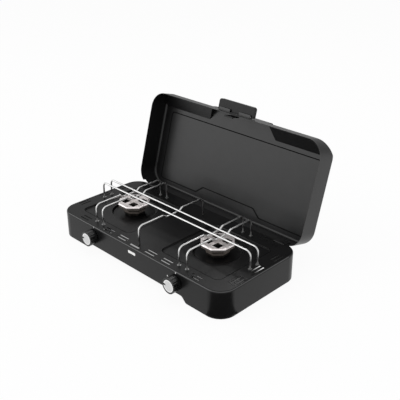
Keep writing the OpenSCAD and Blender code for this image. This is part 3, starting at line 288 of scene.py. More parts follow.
class Nodes:
    """The node tree of a material or world, with short ways to add and join nodes."""

    def __init__(self, owner: bpy.types.ID, output: str = "ShaderNodeOutputMaterial") -> None:
        """The owner's tree, emptied down to one output node.

        Args:
            owner: the material or world.
            output: type name of its output node.
        """
        owner.use_nodes = True
        self.tree = owner.node_tree
        self.tree.nodes.clear()
        self.surface = self.add(output).inputs["Surface"]

    def add(self, kind: str, **values: object) -> bpy.types.Node:
        """A new node with attributes set by name.

        Args:
            kind: the node's type name.
            **values: attributes of the node.

        Returns:
            The node.
        """
        node = self.tree.nodes.new(kind)
        for key, value in values.items():
            setattr(node, key, value)
        return node

    def join(self, value: object, slot: Socket) -> None:
        """Link a socket to a slot, or set the slot to a plain value."""
        if isinstance(value, Socket):
            self.tree.links.new(value, slot)
        else:
            slot.default_value = value

    def math(self, operation: str, *values: object) -> Socket:
        """A math node on sockets or numbers.

        Args:
            operation: the node's operation.
            *values: sockets or numbers, in order.

        Returns:
            The result.
        """
        node = self.add("ShaderNodeMath", operation=operation)
        for value, slot in zip(values, node.inputs):
            self.join(value, slot)
        return node.outputs[0]

    def remap(self, value: Socket, span: Sequence[float], onto: Sequence[float] = (0.0, 1.0)) -> Socket:
        """A value carried from one span onto another and held at its ends.

        Args:
            value: the value.
            span: where it starts and ends.
            onto: what it becomes there.

        Returns:
            The result.
        """
        node = self.add("ShaderNodeMapRange")
        for name, number in zip(("From Min", "From Max", "To Min", "To Max"), (*span, *onto)):
            node.inputs[name].default_value = number
        self.join(value, node.inputs["Value"])
        return node.outputs["Result"]

    def place(self) -> Socket:
        """The Object coordinates, in metres."""
        return self.add("ShaderNodeTexCoord").outputs["Object"]

    def split(self) -> tuple:
        """X, Y and Z of the Object coordinates."""
        node = self.add("ShaderNodeSeparateXYZ")
        self.join(self.place(), node.inputs[0])
        return tuple(node.outputs)

    def glow(self, kind: str, strength: float) -> Socket:
        """White light of one strength, from a node whose first output is its shader."""
        node = self.add(kind)
        node.inputs["Color"].default_value = (1.0, 1.0, 1.0, 1.0)
        node.inputs["Strength"].default_value = strength
        return node.outputs[0]

    def blend(self, share: Socket, first: Socket, second: Socket) -> None:
        """Put two shaders on the surface, the second by a share."""
        node = self.add("ShaderNodeMixShader")
        for value, slot in zip((share, first, second), node.inputs):
            self.join(value, slot)
        self.join(node.outputs["Shader"], self.surface)


class Graph(Nodes):
    """The node tree of a new material with one Principled shader."""

    def __init__(self, name: str) -> None:
        """The material, with the shader on its surface."""
        self.material = bpy.data.materials.new(name)
        super().__init__(self.material)
        self.shader = self.add("ShaderNodeBsdfPrincipled")
        self.join(self.shader.outputs["BSDF"], self.surface)

    def set(self, **sockets: object) -> None:
        """Set or link the shader's own sockets, with spaces written as underscores."""
        for key, value in sockets.items():
            self.join(value, self.shader.inputs[key.replace("_", " ")])

    def noise(self, scale: float, detail: float = 2.0) -> Socket:
        """Noise on Object coordinates.

        Args:
            scale: cells to the metre.
            detail: octaves.

        Returns:
            The noise's value.
        """
        node = self.add("ShaderNodeTexNoise")
        node.inputs["Scale"].default_value = scale
        node.inputs["Detail"].default_value = detail
        self.join(self.place(), node.inputs["Vector"])
        return node.outputs["Fac"]

    def rings(self, radius: Socket, scale: float) -> Socket:
        """Noise along a radius alone, with its cells to the metre."""
        node = self.add("ShaderNodeTexNoise", noise_dimensions="1D")
        node.inputs["Scale"].default_value = scale
        self.join(radius, node.inputs["W"])
        return node.outputs["Fac"]

    def ramp(self, value: Socket, stops: Sequence[tuple]) -> Socket:
        """Colours along a value.

        Args:
            value: the place on the ramp.
            stops: pairs of position and colour.

        Returns:
            The colour.
        """
        node = self.add("ShaderNodeValToRGB")
        elements = node.color_ramp.elements
        while len(elements) < len(stops):
            elements.new(0.5)
        for element, (position, colour) in zip(elements, stops):
            element.position = position
            element.color = (*colour, 1.0)
        self.join(value, node.inputs["Fac"])
        return node.outputs["Color"]

    def cloud(self, value: Socket, colour: Sequence[float], shares: Sequence[float]) -> Socket:
        """A colour between two shares of itself along a noise value."""
        tones = [[min(1.0, c * share) for c in colour] for share in shares]
        return self.ramp(value, list(zip(NOISE_SPAN, tones)))

    def dim(self, tone: Socket, share: Socket) -> Socket:
        """A colour times a share."""
        node = self.add("ShaderNodeVectorMath", operation="SCALE")
        self.join(tone, node.inputs[0])
        self.join(share, node.inputs["Scale"])
        return node.outputs[0]

    def burner_offset(self) -> tuple:
        """X and Y from the nearer burner's axis, with X outwards from the stove's middle."""
        x, y, _ = self.split()
        u = self.math("SUBTRACT", self.math("ABSOLUTE", x), BURNER_X * MM)
        return u, self.math("SUBTRACT", y, (BURNER_Y - FRAME_Y) * MM)

    def length(self, u: Socket, v: Socket) -> Socket:
        """Length of a vector in a plane."""
        return self.math("SQRT", self.math("ADD", *(self.math("MULTIPLY", w, w) for w in (u, v))))

    def polish(self, value: Socket, roughness: Sequence[float]) -> None:
        """The shader's roughness between two values along a noise value."""
        self.set(Roughness=self.remap(value, NOISE_SPAN, roughness))

    def bump(self, height: Socket, strength: float, depth: float = 0.2) -> None:
        """Bump on the shader's normal from a height.

        Args:
            height: the height's share.
            strength: share of the bump that shows.
            depth: the full height.
        """
        node = self.add("ShaderNodeBump")
        node.inputs["Strength"].default_value = strength
        node.inputs["Distance"].default_value = depth * MM
        self.join(height, node.inputs["Height"])
        self.set(Normal=node.outputs["Normal"])


class Finish(Protocol):
    """What every finish has: a name, and a way to build its material."""

    name: str

    def build(self) -> Material:
        """The material."""


@dataclass(frozen=True)
class PaintFinish:
    """Satin powder paint: two close tones, fine grain and an uneven gloss."""

    name: str
    colour: tuple
    roughness: tuple
    grain: float
    gloss: float
    cloud_scale: float = 14.0
    cloud_shares: tuple = (0.88, 1.12)
    gloss_scale: float = 60.0
    grain_scale: float = 1800.0

    def build(self) -> Material:
        """The material."""
        g = Graph(self.name)
        g.set(Specular_IOR_Level=self.gloss, Base_Color=self.tone(g))
        g.polish(g.noise(self.gloss_scale, 3), self.roughness)
        g.bump(g.noise(self.grain_scale), self.grain)
        return g.material

    def tone(self, g: Graph) -> Socket:
        """The paint's colour, clouded a little."""
        return g.cloud(g.noise(self.cloud_scale, 3), self.colour, self.cloud_shares)


@dataclass(frozen=True)
class HobFinish(PaintFinish):
    """The tray's paint, darkened within a radius of each burner as painted shade."""

    burner_shade_span: tuple = (40.0, 78.0)
    burner_shade_share: float = 0.6

    def tone(self, g: Graph) -> Socket:
        """The clouded colour, darker towards each burner's axis as painted shade."""
        reach = [end * MM for end in self.burner_shade_span]
        share = g.remap(g.length(*g.burner_offset()), reach, (self.burner_shade_share, 1.0))
        return g.dim(super().tone(g), share)


@dataclass(frozen=True)
class SteelFinish:
    """Bare or plated steel: fine streaks, an uneven polish and a slight cast of colour."""

    name: str
    colour: tuple
    roughness: tuple
    cloud_scale: float = 40.0
    cloud_shares: tuple = (0.9, 1.05)
    streak_scale: float = 500.0
    streak: float = 0.06

    def build(self) -> Material:
        """The material."""
        g = Graph(self.name)
        streaks = g.noise(self.streak_scale)
        g.set(Metallic=1.0, Base_Color=g.cloud(g.noise(self.cloud_scale), self.colour, self.cloud_shares))
        g.polish(streaks, self.roughness)
        g.bump(streaks, self.streak)
        return g.material


@dataclass(frozen=True)
class CapFinish:
    """Pressed bright steel of the burner caps: tinted middle, a painted highlight round the windows and
    painted shade on the lower rim.
    """

    name: str
    colour: tuple
    tint: tuple
    window_mid: float
    glint_half: float
    plate_z: float
    rim_z: float
    metal: float = 0.6
    roughness: tuple = (0.14, 0.2)
    off_glint_share: float = 0.92
    rim_shade_share: float = 0.3
    tint_slope: float = 22.0
    tint_stops: tuple = (0.3, 0.85)
    cloud_scale: float = 60.0
    cloud: float = 0.4
    ring_scale: float = 900.0
    ring: float = 0.015

    def build(self) -> Material:
        """The material: rings about each axis, a painted highlight near the windows that is darker beyond
        their borders, and painted shade low on the rim.
        """
        g = Graph(self.name)
        u, v = g.burner_offset()
        radius = g.length(u, v)
        cloud = g.math("MULTIPLY", g.noise(self.cloud_scale, 3), self.cloud)
        place = g.math("MULTIPLY_ADD", radius, self.tint_slope, cloud)
        tone = g.ramp(place, list(zip(self.tint_stops, (self.tint, self.colour))))
        offsets = (g.math("SUBTRACT", g.math("ABSOLUTE", w), self.window_mid * MM) for w in (u, v))
        border = g.math("MAXIMUM", *(g.math("ABSOLUTE", w) for w in offsets))
        z = g.split()[2]
        # Painted highlight: the plate's top outside a band round each window is darker.
        past_glint = g.math("GREATER_THAN", border, self.glint_half * MM)
        top = g.math("GREATER_THAN", z, self.plate_z * MM)
        # Painted shade: the rim below this height is darkened.
        rim = g.math("LESS_THAN", z, self.rim_z * MM)
        plate = g.math("MULTIPLY_ADD", g.math("MULTIPLY", past_glint, top), self.off_glint_share - 1.0, 1.0)
        share = g.math("MULTIPLY_ADD", rim, self.rim_shade_share - 1.0, plate)
        g.set(Metallic=self.metal, Base_Color=g.dim(tone, share))
        rings = g.rings(radius, self.ring_scale)
        g.polish(rings, self.roughness)
        g.bump(rings, self.ring)
        return g.material


@dataclass(frozen=True)
class CupToneAndShadeFinish:
    """Steel of the burner cups, brown in tone: bands along the height outside, partly that tone and partly
    painted shade and painted reflections, and painted shade inside.
    """

    name: str
    tone_shade_and_sheen_bands: tuple
    foot_z: float
    foot_r: float
    taper: float
    metal: float = 0.4
    roughness: tuple = (0.34, 0.52)
    inside_shade: float = 0.18
    blotch: float = 0.05
    blotch_scale: float = 90.0
    polish_scale: float = 200.0
    pit: float = 0.1
    pit_scale: float = 600.0

    def build(self) -> Material:
        """The material, banded along Z with its tone, painted shade and painted reflections, and darker
        within the wall's middle line as painted shade.
        """
        g = Graph(self.name)
        z = g.split()[2]
        first, last = self.tone_shade_and_sheen_bands[0][0], self.tone_shade_and_sheen_bands[-1][0]
        level = g.remap(z, (first * MM, last * MM))
        blotch = g.math("MULTIPLY", g.math("SUBTRACT", g.noise(self.blotch_scale, 4), 0.5), self.blotch)
        stops = [((height - first) / (last - first), colour) for height, colour in self.tone_shade_and_sheen_bands]
        tone = g.ramp(g.math("ADD", level, blotch), stops)
        u, v = (g.math("ABSOLUTE", w) for w in g.burner_offset())
        slant = g.math("MULTIPLY", g.math("ADD", u, v), math.sqrt(0.5))
        flat = g.math("MAXIMUM", g.math("MAXIMUM", u, v), slant)
        start = (self.foot_r - self.taper * self.foot_z) * MM
        # Painted shade: the cup's inner face is darkened.
        inside = g.math("LESS_THAN", flat, g.math("MULTIPLY_ADD", z, self.taper, start))
        share = g.math("MULTIPLY_ADD", inside, self.inside_shade - 1.0, 1.0)
        g.set(Metallic=self.metal, Base_Color=g.dim(tone, share))
        g.polish(g.noise(self.polish_scale, 3), self.roughness)
        g.bump(g.noise(self.pit_scale, 3), self.pit)
        return g.material


@dataclass(frozen=True)
class MouldedFinish:
    """Moulded plastic, rubber or ink: a near-even tone with a faint mould grain."""

    name: str
    colour: tuple
    roughness: tuple
    grain: float = 0.04
    cloud_scale: float = 120.0
    cloud_shares: tuple = (0.85, 1.15)
    polish_scale: float = 300.0
    grain_scale: float = 2200.0
    grain_depth: float = 0.1

    def build(self) -> Material:
        """The material."""
        g = Graph(self.name)
        g.set(Base_Color=g.cloud(g.noise(self.cloud_scale), self.colour, self.cloud_shares))
        g.polish(g.noise(self.polish_scale), self.roughness)
        g.bump(g.noise(self.grain_scale, 1), self.grain, self.grain_depth)
        return g.material


@dataclass(frozen=True)
class SpunFinish:
    """Spun bright disc of the knob faces: fine rings, a pale ring, a dark border and a dark pointer."""

    name: str
    colour: tuple
    roughness: tuple = (0.26, 0.4)
    cloud_shares: tuple = (0.93, 1.0)
    border_r: float = 13.3
    ring_r: float = 11.2
    ring_gain: float = 1.35
    pointer_r: float = 7.8
    pointer_half: float = 1.9
    spin_scale: float = 2500.0
    spin: float = 0.04
    spin_depth: float = 0.1

    def build(self) -> Material:
        """The material, with rings in the XZ plane about each knob's axis."""
        g = Graph(self.name)
        x, _, z = g.split()
        u = g.math("SUBTRACT", x, g.math("MULTIPLY", g.math("SIGN", x), BURNER_X * MM))
        v = g.math("SUBTRACT", z, KNOB_Z * MM)
        radius = g.length(u, v)
        pale = g.math("GREATER_THAN", radius, self.ring_r * MM)
        gain = g.math("MULTIPLY_ADD", pale, self.ring_gain - 1.0, 1.0)
        inside = g.math("LESS_THAN", radius, self.border_r * MM)
        along = g.math("LESS_THAN", u, -self.pointer_r * MM)
        across = g.math("LESS_THAN", g.math("ABSOLUTE", v), self.pointer_half * MM)
        bare = g.math("MULTIPLY", inside, g.math("SUBTRACT", 1.0, g.math("MULTIPLY", along, across)))
        rings = g.rings(radius, self.spin_scale)
        tone = g.cloud(rings, self.colour, self.cloud_shares)
        g.set(Metallic=bare, Base_Color=g.dim(tone, g.math("MULTIPLY", bare, gain)))
        g.polish(rings, self.roughness)
        g.bump(rings, self.spin, self.spin_depth)
        return g.material


CHARCOAL = PaintFinish("charcoal_paint", (0.0065, 0.0065, 0.0068), (0.33, 0.36), 0.04, 0.38)
HOB_PAINT = HobFinish("hob_paint", (0.005, 0.005, 0.0052), (0.31, 0.34), 0.04, 0.22)
LATCH_BLACK = PaintFinish("latch_paint", (0.006, 0.006, 0.0062), (0.34, 0.38), 0.04, 0.2)
# Painted highlight for the line along the tray's top edge.
EDGE_HIGHLIGHT = PaintFinish("edge_highlight", (0.05, 0.05, 0.051), (0.3, 0.36), 0.04, 0.45)
LIP_GREY = PaintFinish("lip_paint", (0.03, 0.03, 0.03), (0.34, 0.4), 0.04, 0.4)
CREASE = PaintFinish("crease_shade", (0.003, 0.003, 0.003), (0.6, 0.7), 0.05, 0.05)
BRIGHT_WIRE = SteelFinish("bright_wire", (0.64, 0.64, 0.635), (0.27, 0.35))
ZINC = SteelFinish("zinc_plate", (0.5, 0.51, 0.52), (0.34, 0.5))
CLIP_STEEL = SteelFinish("clip_steel", (0.32, 0.32, 0.32), (0.3, 0.45))
BRASS = SteelFinish("machined_brass", (0.72, 0.53, 0.22), (0.22, 0.36))
CAP_STEEL = CapFinish(
    "cap_steel", (0.97, 0.91, 0.9), (0.93, 0.86, 0.84), 13.65, 10.9, HOB_Z + 19.9, HOB_Z + 17.5
)
# Heights and colours of the cup's bands: the dark bands are painted shade under the cap, under the lip and
# at the foot; the pale bands are the brown tone with painted reflections.
CUP_TONE_SHADE_AND_SHEEN_BANDS = (
    (54.0, (0.02, 0.018, 0.016)), (60.6, (0.04, 0.035, 0.031)), (62.2, (0.3, 0.26, 0.23)),
    (67.2, (0.3, 0.26, 0.23)), (68.8, (0.05, 0.043, 0.038)), (74.8, (0.05, 0.043, 0.038)),
    (75.1, (0.2, 0.175, 0.155)), (77.4, (0.22, 0.19, 0.17)), (78.4, (0.08, 0.07, 0.061)),
)
CUP_STEEL = CupToneAndShadeFinish("cup_steel", CUP_TONE_SHADE_AND_SHEEN_BANDS, 54.0, 19.9, 0.3873)
KNOB_BLACK = MouldedFinish("knob_plastic", (0.004, 0.004, 0.0042), (0.2, 0.28), 0.02)
FOOT_RUBBER = MouldedFinish("foot_rubber", (0.02, 0.02, 0.02), (0.7, 0.85), 0.15)
PALE_PLATE = MouldedFinish("pale_plate", (0.86, 0.86, 0.85), (0.3, 0.4))
MARK_WHITE = MouldedFinish("mark_ink", (0.9, 0.9, 0.89), (0.5, 0.6))
KNOB_FACE = SpunFinish("knob_face", (0.66, 0.66, 0.66))


class Wardrobe:
    """Builds each finish once and dresses objects with it."""

    def __init__(self) -> None:
        """An empty store of built materials."""
        self.built: dict[str, Material] = {}

    def dress(self, obj: Object, finish: Finish) -> None:
        """Give an object one finish all over, built the first time it is asked for."""
        if finish.name not in self.built:
            self.built[finish.name] = finish.build()
        obj.data.materials.clear()
        obj.data.materials.append(self.built[finish.name])


@dataclass
class Assembly:
    """A group of nodes and pieces that are built and dressed together."""

    wardrobe: Wardrobe

    def wear(self, finish: Finish, *names: str) -> None:
        """Give CAD nodes one finish and log them.

        Args:
            finish: the finish for all of them.
            *names: the nodes' names.
        """
        for name in names:
            self.wardrobe.dress(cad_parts[name], finish)
            LOG.info("node %s takes %s", name, finish.name)

    def piece(self, obj: Object, body: Body, slot: str, finish: Finish) -> None:
        """Dress a new piece and set it on a body.

        Args:
            obj: the piece.
            body: what it rides on.
            slot: not used.
            finish: the piece's finish.
        """
        self.wardrobe.dress(obj, finish)
        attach(obj, body.value)
        LOG.info("piece %s rides on %s", obj.name, body.value)


KNOB_MARKS = {
    Side.LEFT: ((3.5, 23.2, 1.1),),
    Side.RIGHT: ((-22.8, 5.1, 1.7), (0.7, 21.9, 1.6)),
}


@dataclass
class Tray(Assembly):
    """The pressed tray with its badge, feet, hinge brackets and gas fittings."""

    skirt_y: float = -119.2
    width: float = 510.0
    corner: float = 37.0
    corner_points: int = 48
    edge_r: float = 4.0
    edge_lift: float = 0.05
    edge_turn: tuple = (0.6, 1.0)
    edge_rows: int = 5
    recess_width: float = 166.0
    recess_front: float = 87.0
    recess_rear: float = 78.0
    recess_corner: float = 14.0
    recess_bend: float = 1.9
    crease_out: float = 0.7
    crease_turn: float = 0.6
    crease_rows: int = 6
    crease_lift: float = 0.05
    mark_proud: float = 0.08
    mark_rings: int = 4
    mark_spokes: int = 20

    def build(self) -> None:
        """Dress the tray's nodes, lay the edge line and the creases, and print the knobs' marks."""
        self.wear(HOB_PAINT, "base_shell")
        self.wear(PALE_PLATE, "front_badge")
        self.wear(FOOT_RUBBER, "rubber_feet")
        self.wear(LATCH_BLACK, "bracket_rivets")
        self.wear(ZINC, "gas_rail", "rail_brackets", "valve_nuts", "inlet_nut")
        self.wear(ZINC, "burner_screws", "wire_push_nuts")
        self.wear(BRASS, "rail_plug", "gas_inlet")
        self.edge_line()
        for side in Side:
            self.wear(LATCH_BLACK, f"hinge_bracket_{side.word}")
            self.wear(ZINC, f"mixing_tube_{side.word}", f"hinge_pin_{side.word}")
            self.wear(BRASS, f"valve_{side.word}", f"injector_{side.word}")
            self.print_marks(side)
            self.crease(side)

    def edge_line(self) -> None:
        """Thin line of painted highlight on the bend of the tray's top edge, round the front and both
        sides.

        The tray's outline is moved inwards by the edge radius less its sine at each turn, and stands
        at the height of its cosine.
        """
        reach = self.edge_r + self.edge_lift
        rows = []
        for turn in np.linspace(*self.edge_turn, self.edge_rows):
            d = self.edge_r - reach * math.sin(turn)
            wide, deep = self.width - 2 * d, -2 * (self.skirt_y + d)
            plan = round_rectangle(wide, deep, self.corner - d, self.corner_points)
            near = np.concatenate([plan[2 * self.corner_points - 1:], plan[:1]])
            rows.append(at_height(near, HOB_Z - self.edge_r + reach * math.cos(turn)))
        obj = put_grid("tray_edge_line", np.stack(rows), flip=True)
        self.piece(obj, Body.BASE, "charcoal_paint", EDGE_HIGHLIGHT)

    def crease(self, side: Side) -> None:
        """Shaded band over the step of one recess, just clear of the sheet.

        The outline of the recess is carried inwards along the step's section: flat, then over the
        first part of the outer bend.

        Args:
            side: the recess's half.
        """
        t = np.linspace(0, self.crease_turn, self.crease_rows)
        inwards = np.concatenate([[-self.crease_out], self.recess_bend * np.sin(t)])
        drop = np.concatenate([[0.0], self.recess_bend * (1 - np.cos(t))])
        wide, deep = self.recess_width, self.recess_front + self.recess_rear
        plan = np.stack([
            round_rectangle(wide - 2 * d, deep - 2 * d, self.recess_corner - d) for d in inwards
        ])
        middle = np.array([side.value * BURNER_X, BURNER_Y + (self.recess_rear - self.recess_front) / 2])
        points = at_height(plan + middle, (HOB_Z + self.crease_lift - drop)[:, None])
        obj = put_grid(f"recess_crease_{side.word}", points, closed=True)
        self.piece(obj, Body.BASE, "charcoal_paint", CREASE)

    def print_marks(self, side: Side) -> None:
        """Round dots of ink on the skirt by one knob, each a low dome over a disc.

        Args:
            side: the knob's half.
        """
        r = np.linspace(0, 1, self.mark_rings)[:, None]
        t = np.linspace(0, 2 * math.pi, self.mark_spokes, endpoint=False)[None, :]
        disc = grid_faces(self.mark_rings, self.mark_spokes, True)[:, ::-1]
        points, faces = [], []
        for k, (dx, dz, radius) in enumerate(KNOB_MARKS[side]):
            x = side.value * BURNER_X + dx + radius * r * np.cos(t)
            y = self.skirt_y - self.mark_proud * (1 - r ** 4) + 0 * t
            z = KNOB_Z + dz + radius * r * np.sin(t)
            points.append(np.stack([x, y, z], -1).reshape(-1, 3))
            faces += (disc + k * len(points[0])).tolist()
        obj = put_mesh(f"knob_marks_{side.word}", to_frame(np.concatenate(points)), faces)
        self.piece(obj, Body.BASE, "pale_plate", MARK_WHITE)


@dataclass
class Burners(Assembly):
    """Stepped cups of the two burners, and their pressed caps with round edges and four windows."""

    cup_rings: tuple = ((34.0, 78.4), (34.0, 75.2), (28.4, 74.4), (20.5, 54.0), (8.0, 54.0), (8.0, 51.0))
    cap_top: float = HOB_Z + 20.0
    cap_flat: float = 35.0
    plate_flat: float = 31.6
    bend_drop: float = 2.4
    bend_rows: int = 7
    rim_h: float = 4.6
    sheet: float = 1.2
    window_in: float = 5.0
    window_out: float = 22.3
    edge: float = 0.35

    def build(self) -> None:
        """Make the cups and the caps."""
        for side in Side:
            self.cup(side)
            self.cap(side)

    def cup(self, side: Side) -> None:
        """One cup: an eight-sided sheet with an upright lip, a wall that tapers to a foot, and a throat.

        Each ring has its flats at a distance from the axis, and its corners on the rays between them.

        Args:
            side: the burner's half.
        """
        ray = (np.arange(8) + 0.5) * math.pi / 4
        flat, z = np.array(self.cup_rings).T[:, :, None]
        reach = flat / math.cos(math.pi / 8)
        rings = np.stack(np.broadcast_arrays(reach * np.cos(ray), reach * np.sin(ray), z), -1)
        name = f"burner_cup_{side.word}"
        obj = put_grid(f"{name}_pressed", rings + side.burner, closed=True, flip=True, smooth=False)
        thicken(obj, self.sheet, INWARDS)
        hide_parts(name)
        self.piece(obj, Body.BASE, "burner_steel", CUP_STEEL)

    def loop(self, half: float, corner: float, z: float) -> Array:
        """An outline of the cap at one height: a quarter, turned four times by a right angle.

        A quarter's points lie on the rays through the ends of the cross's arm and through the corners
        of an eight-sided form, and on the diagonal.

        Args:
            half: distance of the sides from the axis.
            corner: X and Y of the point on the diagonal.
            z: the height.

        Returns:
            Five points for each quarter, the first on the side that faces +X.
        """
        lean, bend = math.tan(math.pi / 8), self.window_in / self.window_out
        quarter = np.array([
            [half, -half * bend], [half, half * bend], [half, half * lean],
            [corner, corner], [half * lean, half],
        ])
        turned = [quarter]
        for _ in range(3):
            quarter = np.stack([-quarter[:, 1], quarter[:, 0]], -1)
            turned.append(quarter)
        return at_height(np.concatenate(turned), z)

    def cap(self, side: Side) -> None:
        """One cap: an eight-sided sheet whose edge turns down, with a cross between four windows.

        Rows of outlines go from the square round the windows to the plate's edge, over a quarter
        turn of the rim and down it. The cross is a middle square and four arms.

        Args:
            side: the burner's half.
        """
        t = np.linspace(0, math.pi / 2, self.bend_rows)
        flats = self.plate_flat + (self.cap_flat - self.plate_flat) * np.sin(t)
        drops = self.bend_drop * (1 - np.cos(t))
        rows = [self.loop(self.window_out, self.window_out, self.cap_top)]
        for flat, drop in (*zip(flats, drops), (self.cap_flat, self.rim_h)):
            rows.append(self.loop(flat, flat / math.sqrt(2), self.cap_top - drop))
        count = len(rows[0])
        middle = self.window_in * np.array([[1, -1], [1, 1], [-1, 1], [-1, -1]])
        points = np.concatenate([*rows, at_height(middle, self.cap_top)])
        start, arm = len(rows) * count, count // 4
        faces = grid_faces(len(rows), count, True)[:, ::-1].tolist()
        faces.append([start, start + 1, start + 2, start + 3])
        for k in range(4):
            faces.append([start + k, arm * k, arm * k + 1, start + (k + 1) % 4])
        name = f"burner_cap_{side.word}"
        obj = put_mesh(f"{name}_pressed", to_frame(points + side.burner), faces, smooth=False)
        thicken(obj, self.sheet, INWARDS)
        round_edge = obj.modifiers.new("round_edge", "BEVEL")
        round_edge.width = self.edge * MM
        round_edge.segments = 2
        round_edge.limit_method = "ANGLE"
        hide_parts(name)
        self.piece(obj, Body.BASE, "cap_steel", CAP_STEEL)


@dataclass
class Supports(Assembly):
    """Wires that carry the pans, as round tubes with smooth bends."""

    wire_r: float = 2.0
    pair_gap: float = 22.4
    flat_z: float = 41.0
    long_z: float = 39.0
    cross_gap: float = 0.15
    long_foot_x: float = 229.7
    front: float = 98.8
    rear: float = 91.0
    dip_y: float = -2.0
    dip_half: float = 19.4
    dip_run: float = 8.2
    corner_bend: float = 11.0
    dip_bend: float = 6.0
    foot: float = 5.0

    def build(self) -> None:
        """Make the seven wires and dress their clips."""
        half = self.pair_gap / 2
        for side in Side:
            self.short_wire(f"{side.word}_wire_outer", side.value * (BURNER_X + half))
            self.short_wire(f"{side.word}_wire_inner", side.value * (BURNER_X - half))
        self.short_wire("middle_wire", 0.0)
        self.long_wire("long_wire_front", -half)
        self.long_wire("long_wire_rear", half)
        self.wear(CLIP_STEEL, "wire_clips")

    def lay(self, node: str, path: Array, across: Sequence[float]) -> None:
        """Put one wire in place of its node.

        Args:
            node: the CAD node that it stands for.
            path: points of its middle line.
            across: unit vector square to the path's plane.
        """
        points, faces = tube(path, np.array(across), self.wire_r)
        obj = put_mesh(f"{node}_rod", to_frame(points), faces)
        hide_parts(node)
        self.piece(obj, Body.BASE, "bright_wire", BRIGHT_WIRE)

    def short_wire(self, node: str, x: float) -> None:
        """A wire along Y that dips under the long ones.

        Args:
            node: the CAD node that it stands for.
            x: the wire's place along X.
        """
        high, low = HOB_Z + self.flat_z, HOB_Z + self.long_z - 2 * self.wire_r - self.cross_gap
        a, b = self.dip_y - self.dip_half, self.dip_y + self.dip_half
        corners = np.array([
            [-self.front, HOB_Z - self.foot], [-self.front, high], [a - self.dip_run, high], [a, low],
            [b, low], [b + self.dip_run, high], [self.rear, high], [self.rear, HOB_Z - self.foot],
        ])
        flat = rounded_path(corners, [0, self.corner_bend, *[self.dip_bend] * 4, self.corner_bend, 0])
        path = np.stack([np.full(len(flat), x), flat[:, 0] + BURNER_Y, flat[:, 1]], -1)
        self.lay(node, path, (1.0, 0.0, 0.0))

    def long_wire(self, node: str, dy: float) -> None:
        """A wire along X over both burners.

        Args:
            node: the CAD node that it stands for.
            dy: the wire's distance from the burner line.
        """
        top, foot, reach = HOB_Z + self.long_z, HOB_Z - self.foot, self.long_foot_x
        corners = np.array([[-reach, foot], [-reach, top], [reach, top], [reach, foot]])
        flat = rounded_path(corners, [0, self.corner_bend, self.corner_bend, 0])
        path = np.stack([flat[:, 0], np.full(len(flat), BURNER_Y + dy), flat[:, 1]], -1)
        self.lay(node, path, (0.0, -1.0, 0.0))


@dataclass
class Lid(Assembly):
    """The open lid with its hinge arms, rivets and pressed panel line."""

    half_depth: float = 115.6
    half_width: float = 251.4
    panel_z: float = HOB_Z + 0.5 + 51.0 - 0.8
    line_lift: float = 0.05
    line_width: float = 2.4
    line_corner: float = 9.0
    corner_points: int = 8
    side_in: float = 25.0
    front_in: float = 44.0
    rear_in: float = 15.0
    step: float = 17.0
    step_foot: float = 99.0
    step_top: float = 78.0

    def build(self) -> None:
        """Dress the lid's nodes and lay the panel line."""
        self.wear(CHARCOAL, "lid_shell", "arm_rivets", "latch_rivets")
        self.wear(LATCH_BLACK, "hinge_arm_left", "hinge_arm_right")
        self.panel_line()

    def outline(self, inset: float) -> Array:
        """Corners of the pressed line, moved inwards by inset, in plan on the closed lid."""
        x = self.half_width - self.side_in - inset
        front = self.front_in + inset - self.half_depth
        rear = self.half_depth - self.rear_in - inset
        foot, top = self.step_foot + inset, self.step_top + inset
        return np.array([
            [-x, front], [x, front], [x, rear], [foot, rear], [top, rear - self.step],
            [-top, rear - self.step], [-foot, rear], [-x, rear],
        ])

    def panel_line(self) -> None:
        """A dark strip of painted shade over the panel's groove, between two outlines with round corners.
        """
        loops = []
        for inset in (0.0, self.line_width):
            corners = self.outline(inset)
            start = (corners[0] + corners[-1]) / 2
            ring = np.concatenate([[start], corners, [start]])
            radii = [self.line_corner - inset] * len(ring)
            loops.append(rounded_path(ring, radii, self.corner_points)[:-1])
        points = swing_open(at_height(np.stack(loops), self.panel_z - self.line_lift))
        obj = put_grid("lid_panel_line", points, closed=True, flip=True, smooth=False)
        self.piece(obj, Body.LID, "charcoal_paint", CREASE)


@dataclass
class Latch(Assembly):
    """The lift latch on the lid's front wall, with a dark sheet of painted shade over its knuckles."""

    shade_sheet_half: float = 35.0
    web_front: float = -124.5
    web_rear: float = -116.9
    shade_sheet_z: float = HOB_Z + 20.85
    shade_sheet_thickness: float = 0.4

    def build(self) -> None:
        """Dress the latch's nodes and lay the sheet of painted shade."""
        self.wear(LATCH_BLACK, "latch_lever", "latch_pins")
        self.wear(LIP_GREY, "latch_bracket")
        self.shade_sheet()

    def shade_sheet(self) -> None:
        """A flat thin dark sheet outside the knuckles, as painted shade, so that no light comes through
        beside them.
        """
        sides = np.meshgrid([-self.shade_sheet_half, self.shade_sheet_half], [self.web_front, self.web_rear], indexing="ij")
        points = swing_open(at_height(np.stack(sides, -1), self.shade_sheet_z))
        obj = put_grid("latch_shade_sheet", points, smooth=False)
        thicken(obj, self.shade_sheet_thickness, BOTH_WAYS)
        self.piece(obj, Body.LID, "black_paint", LATCH_BLACK)


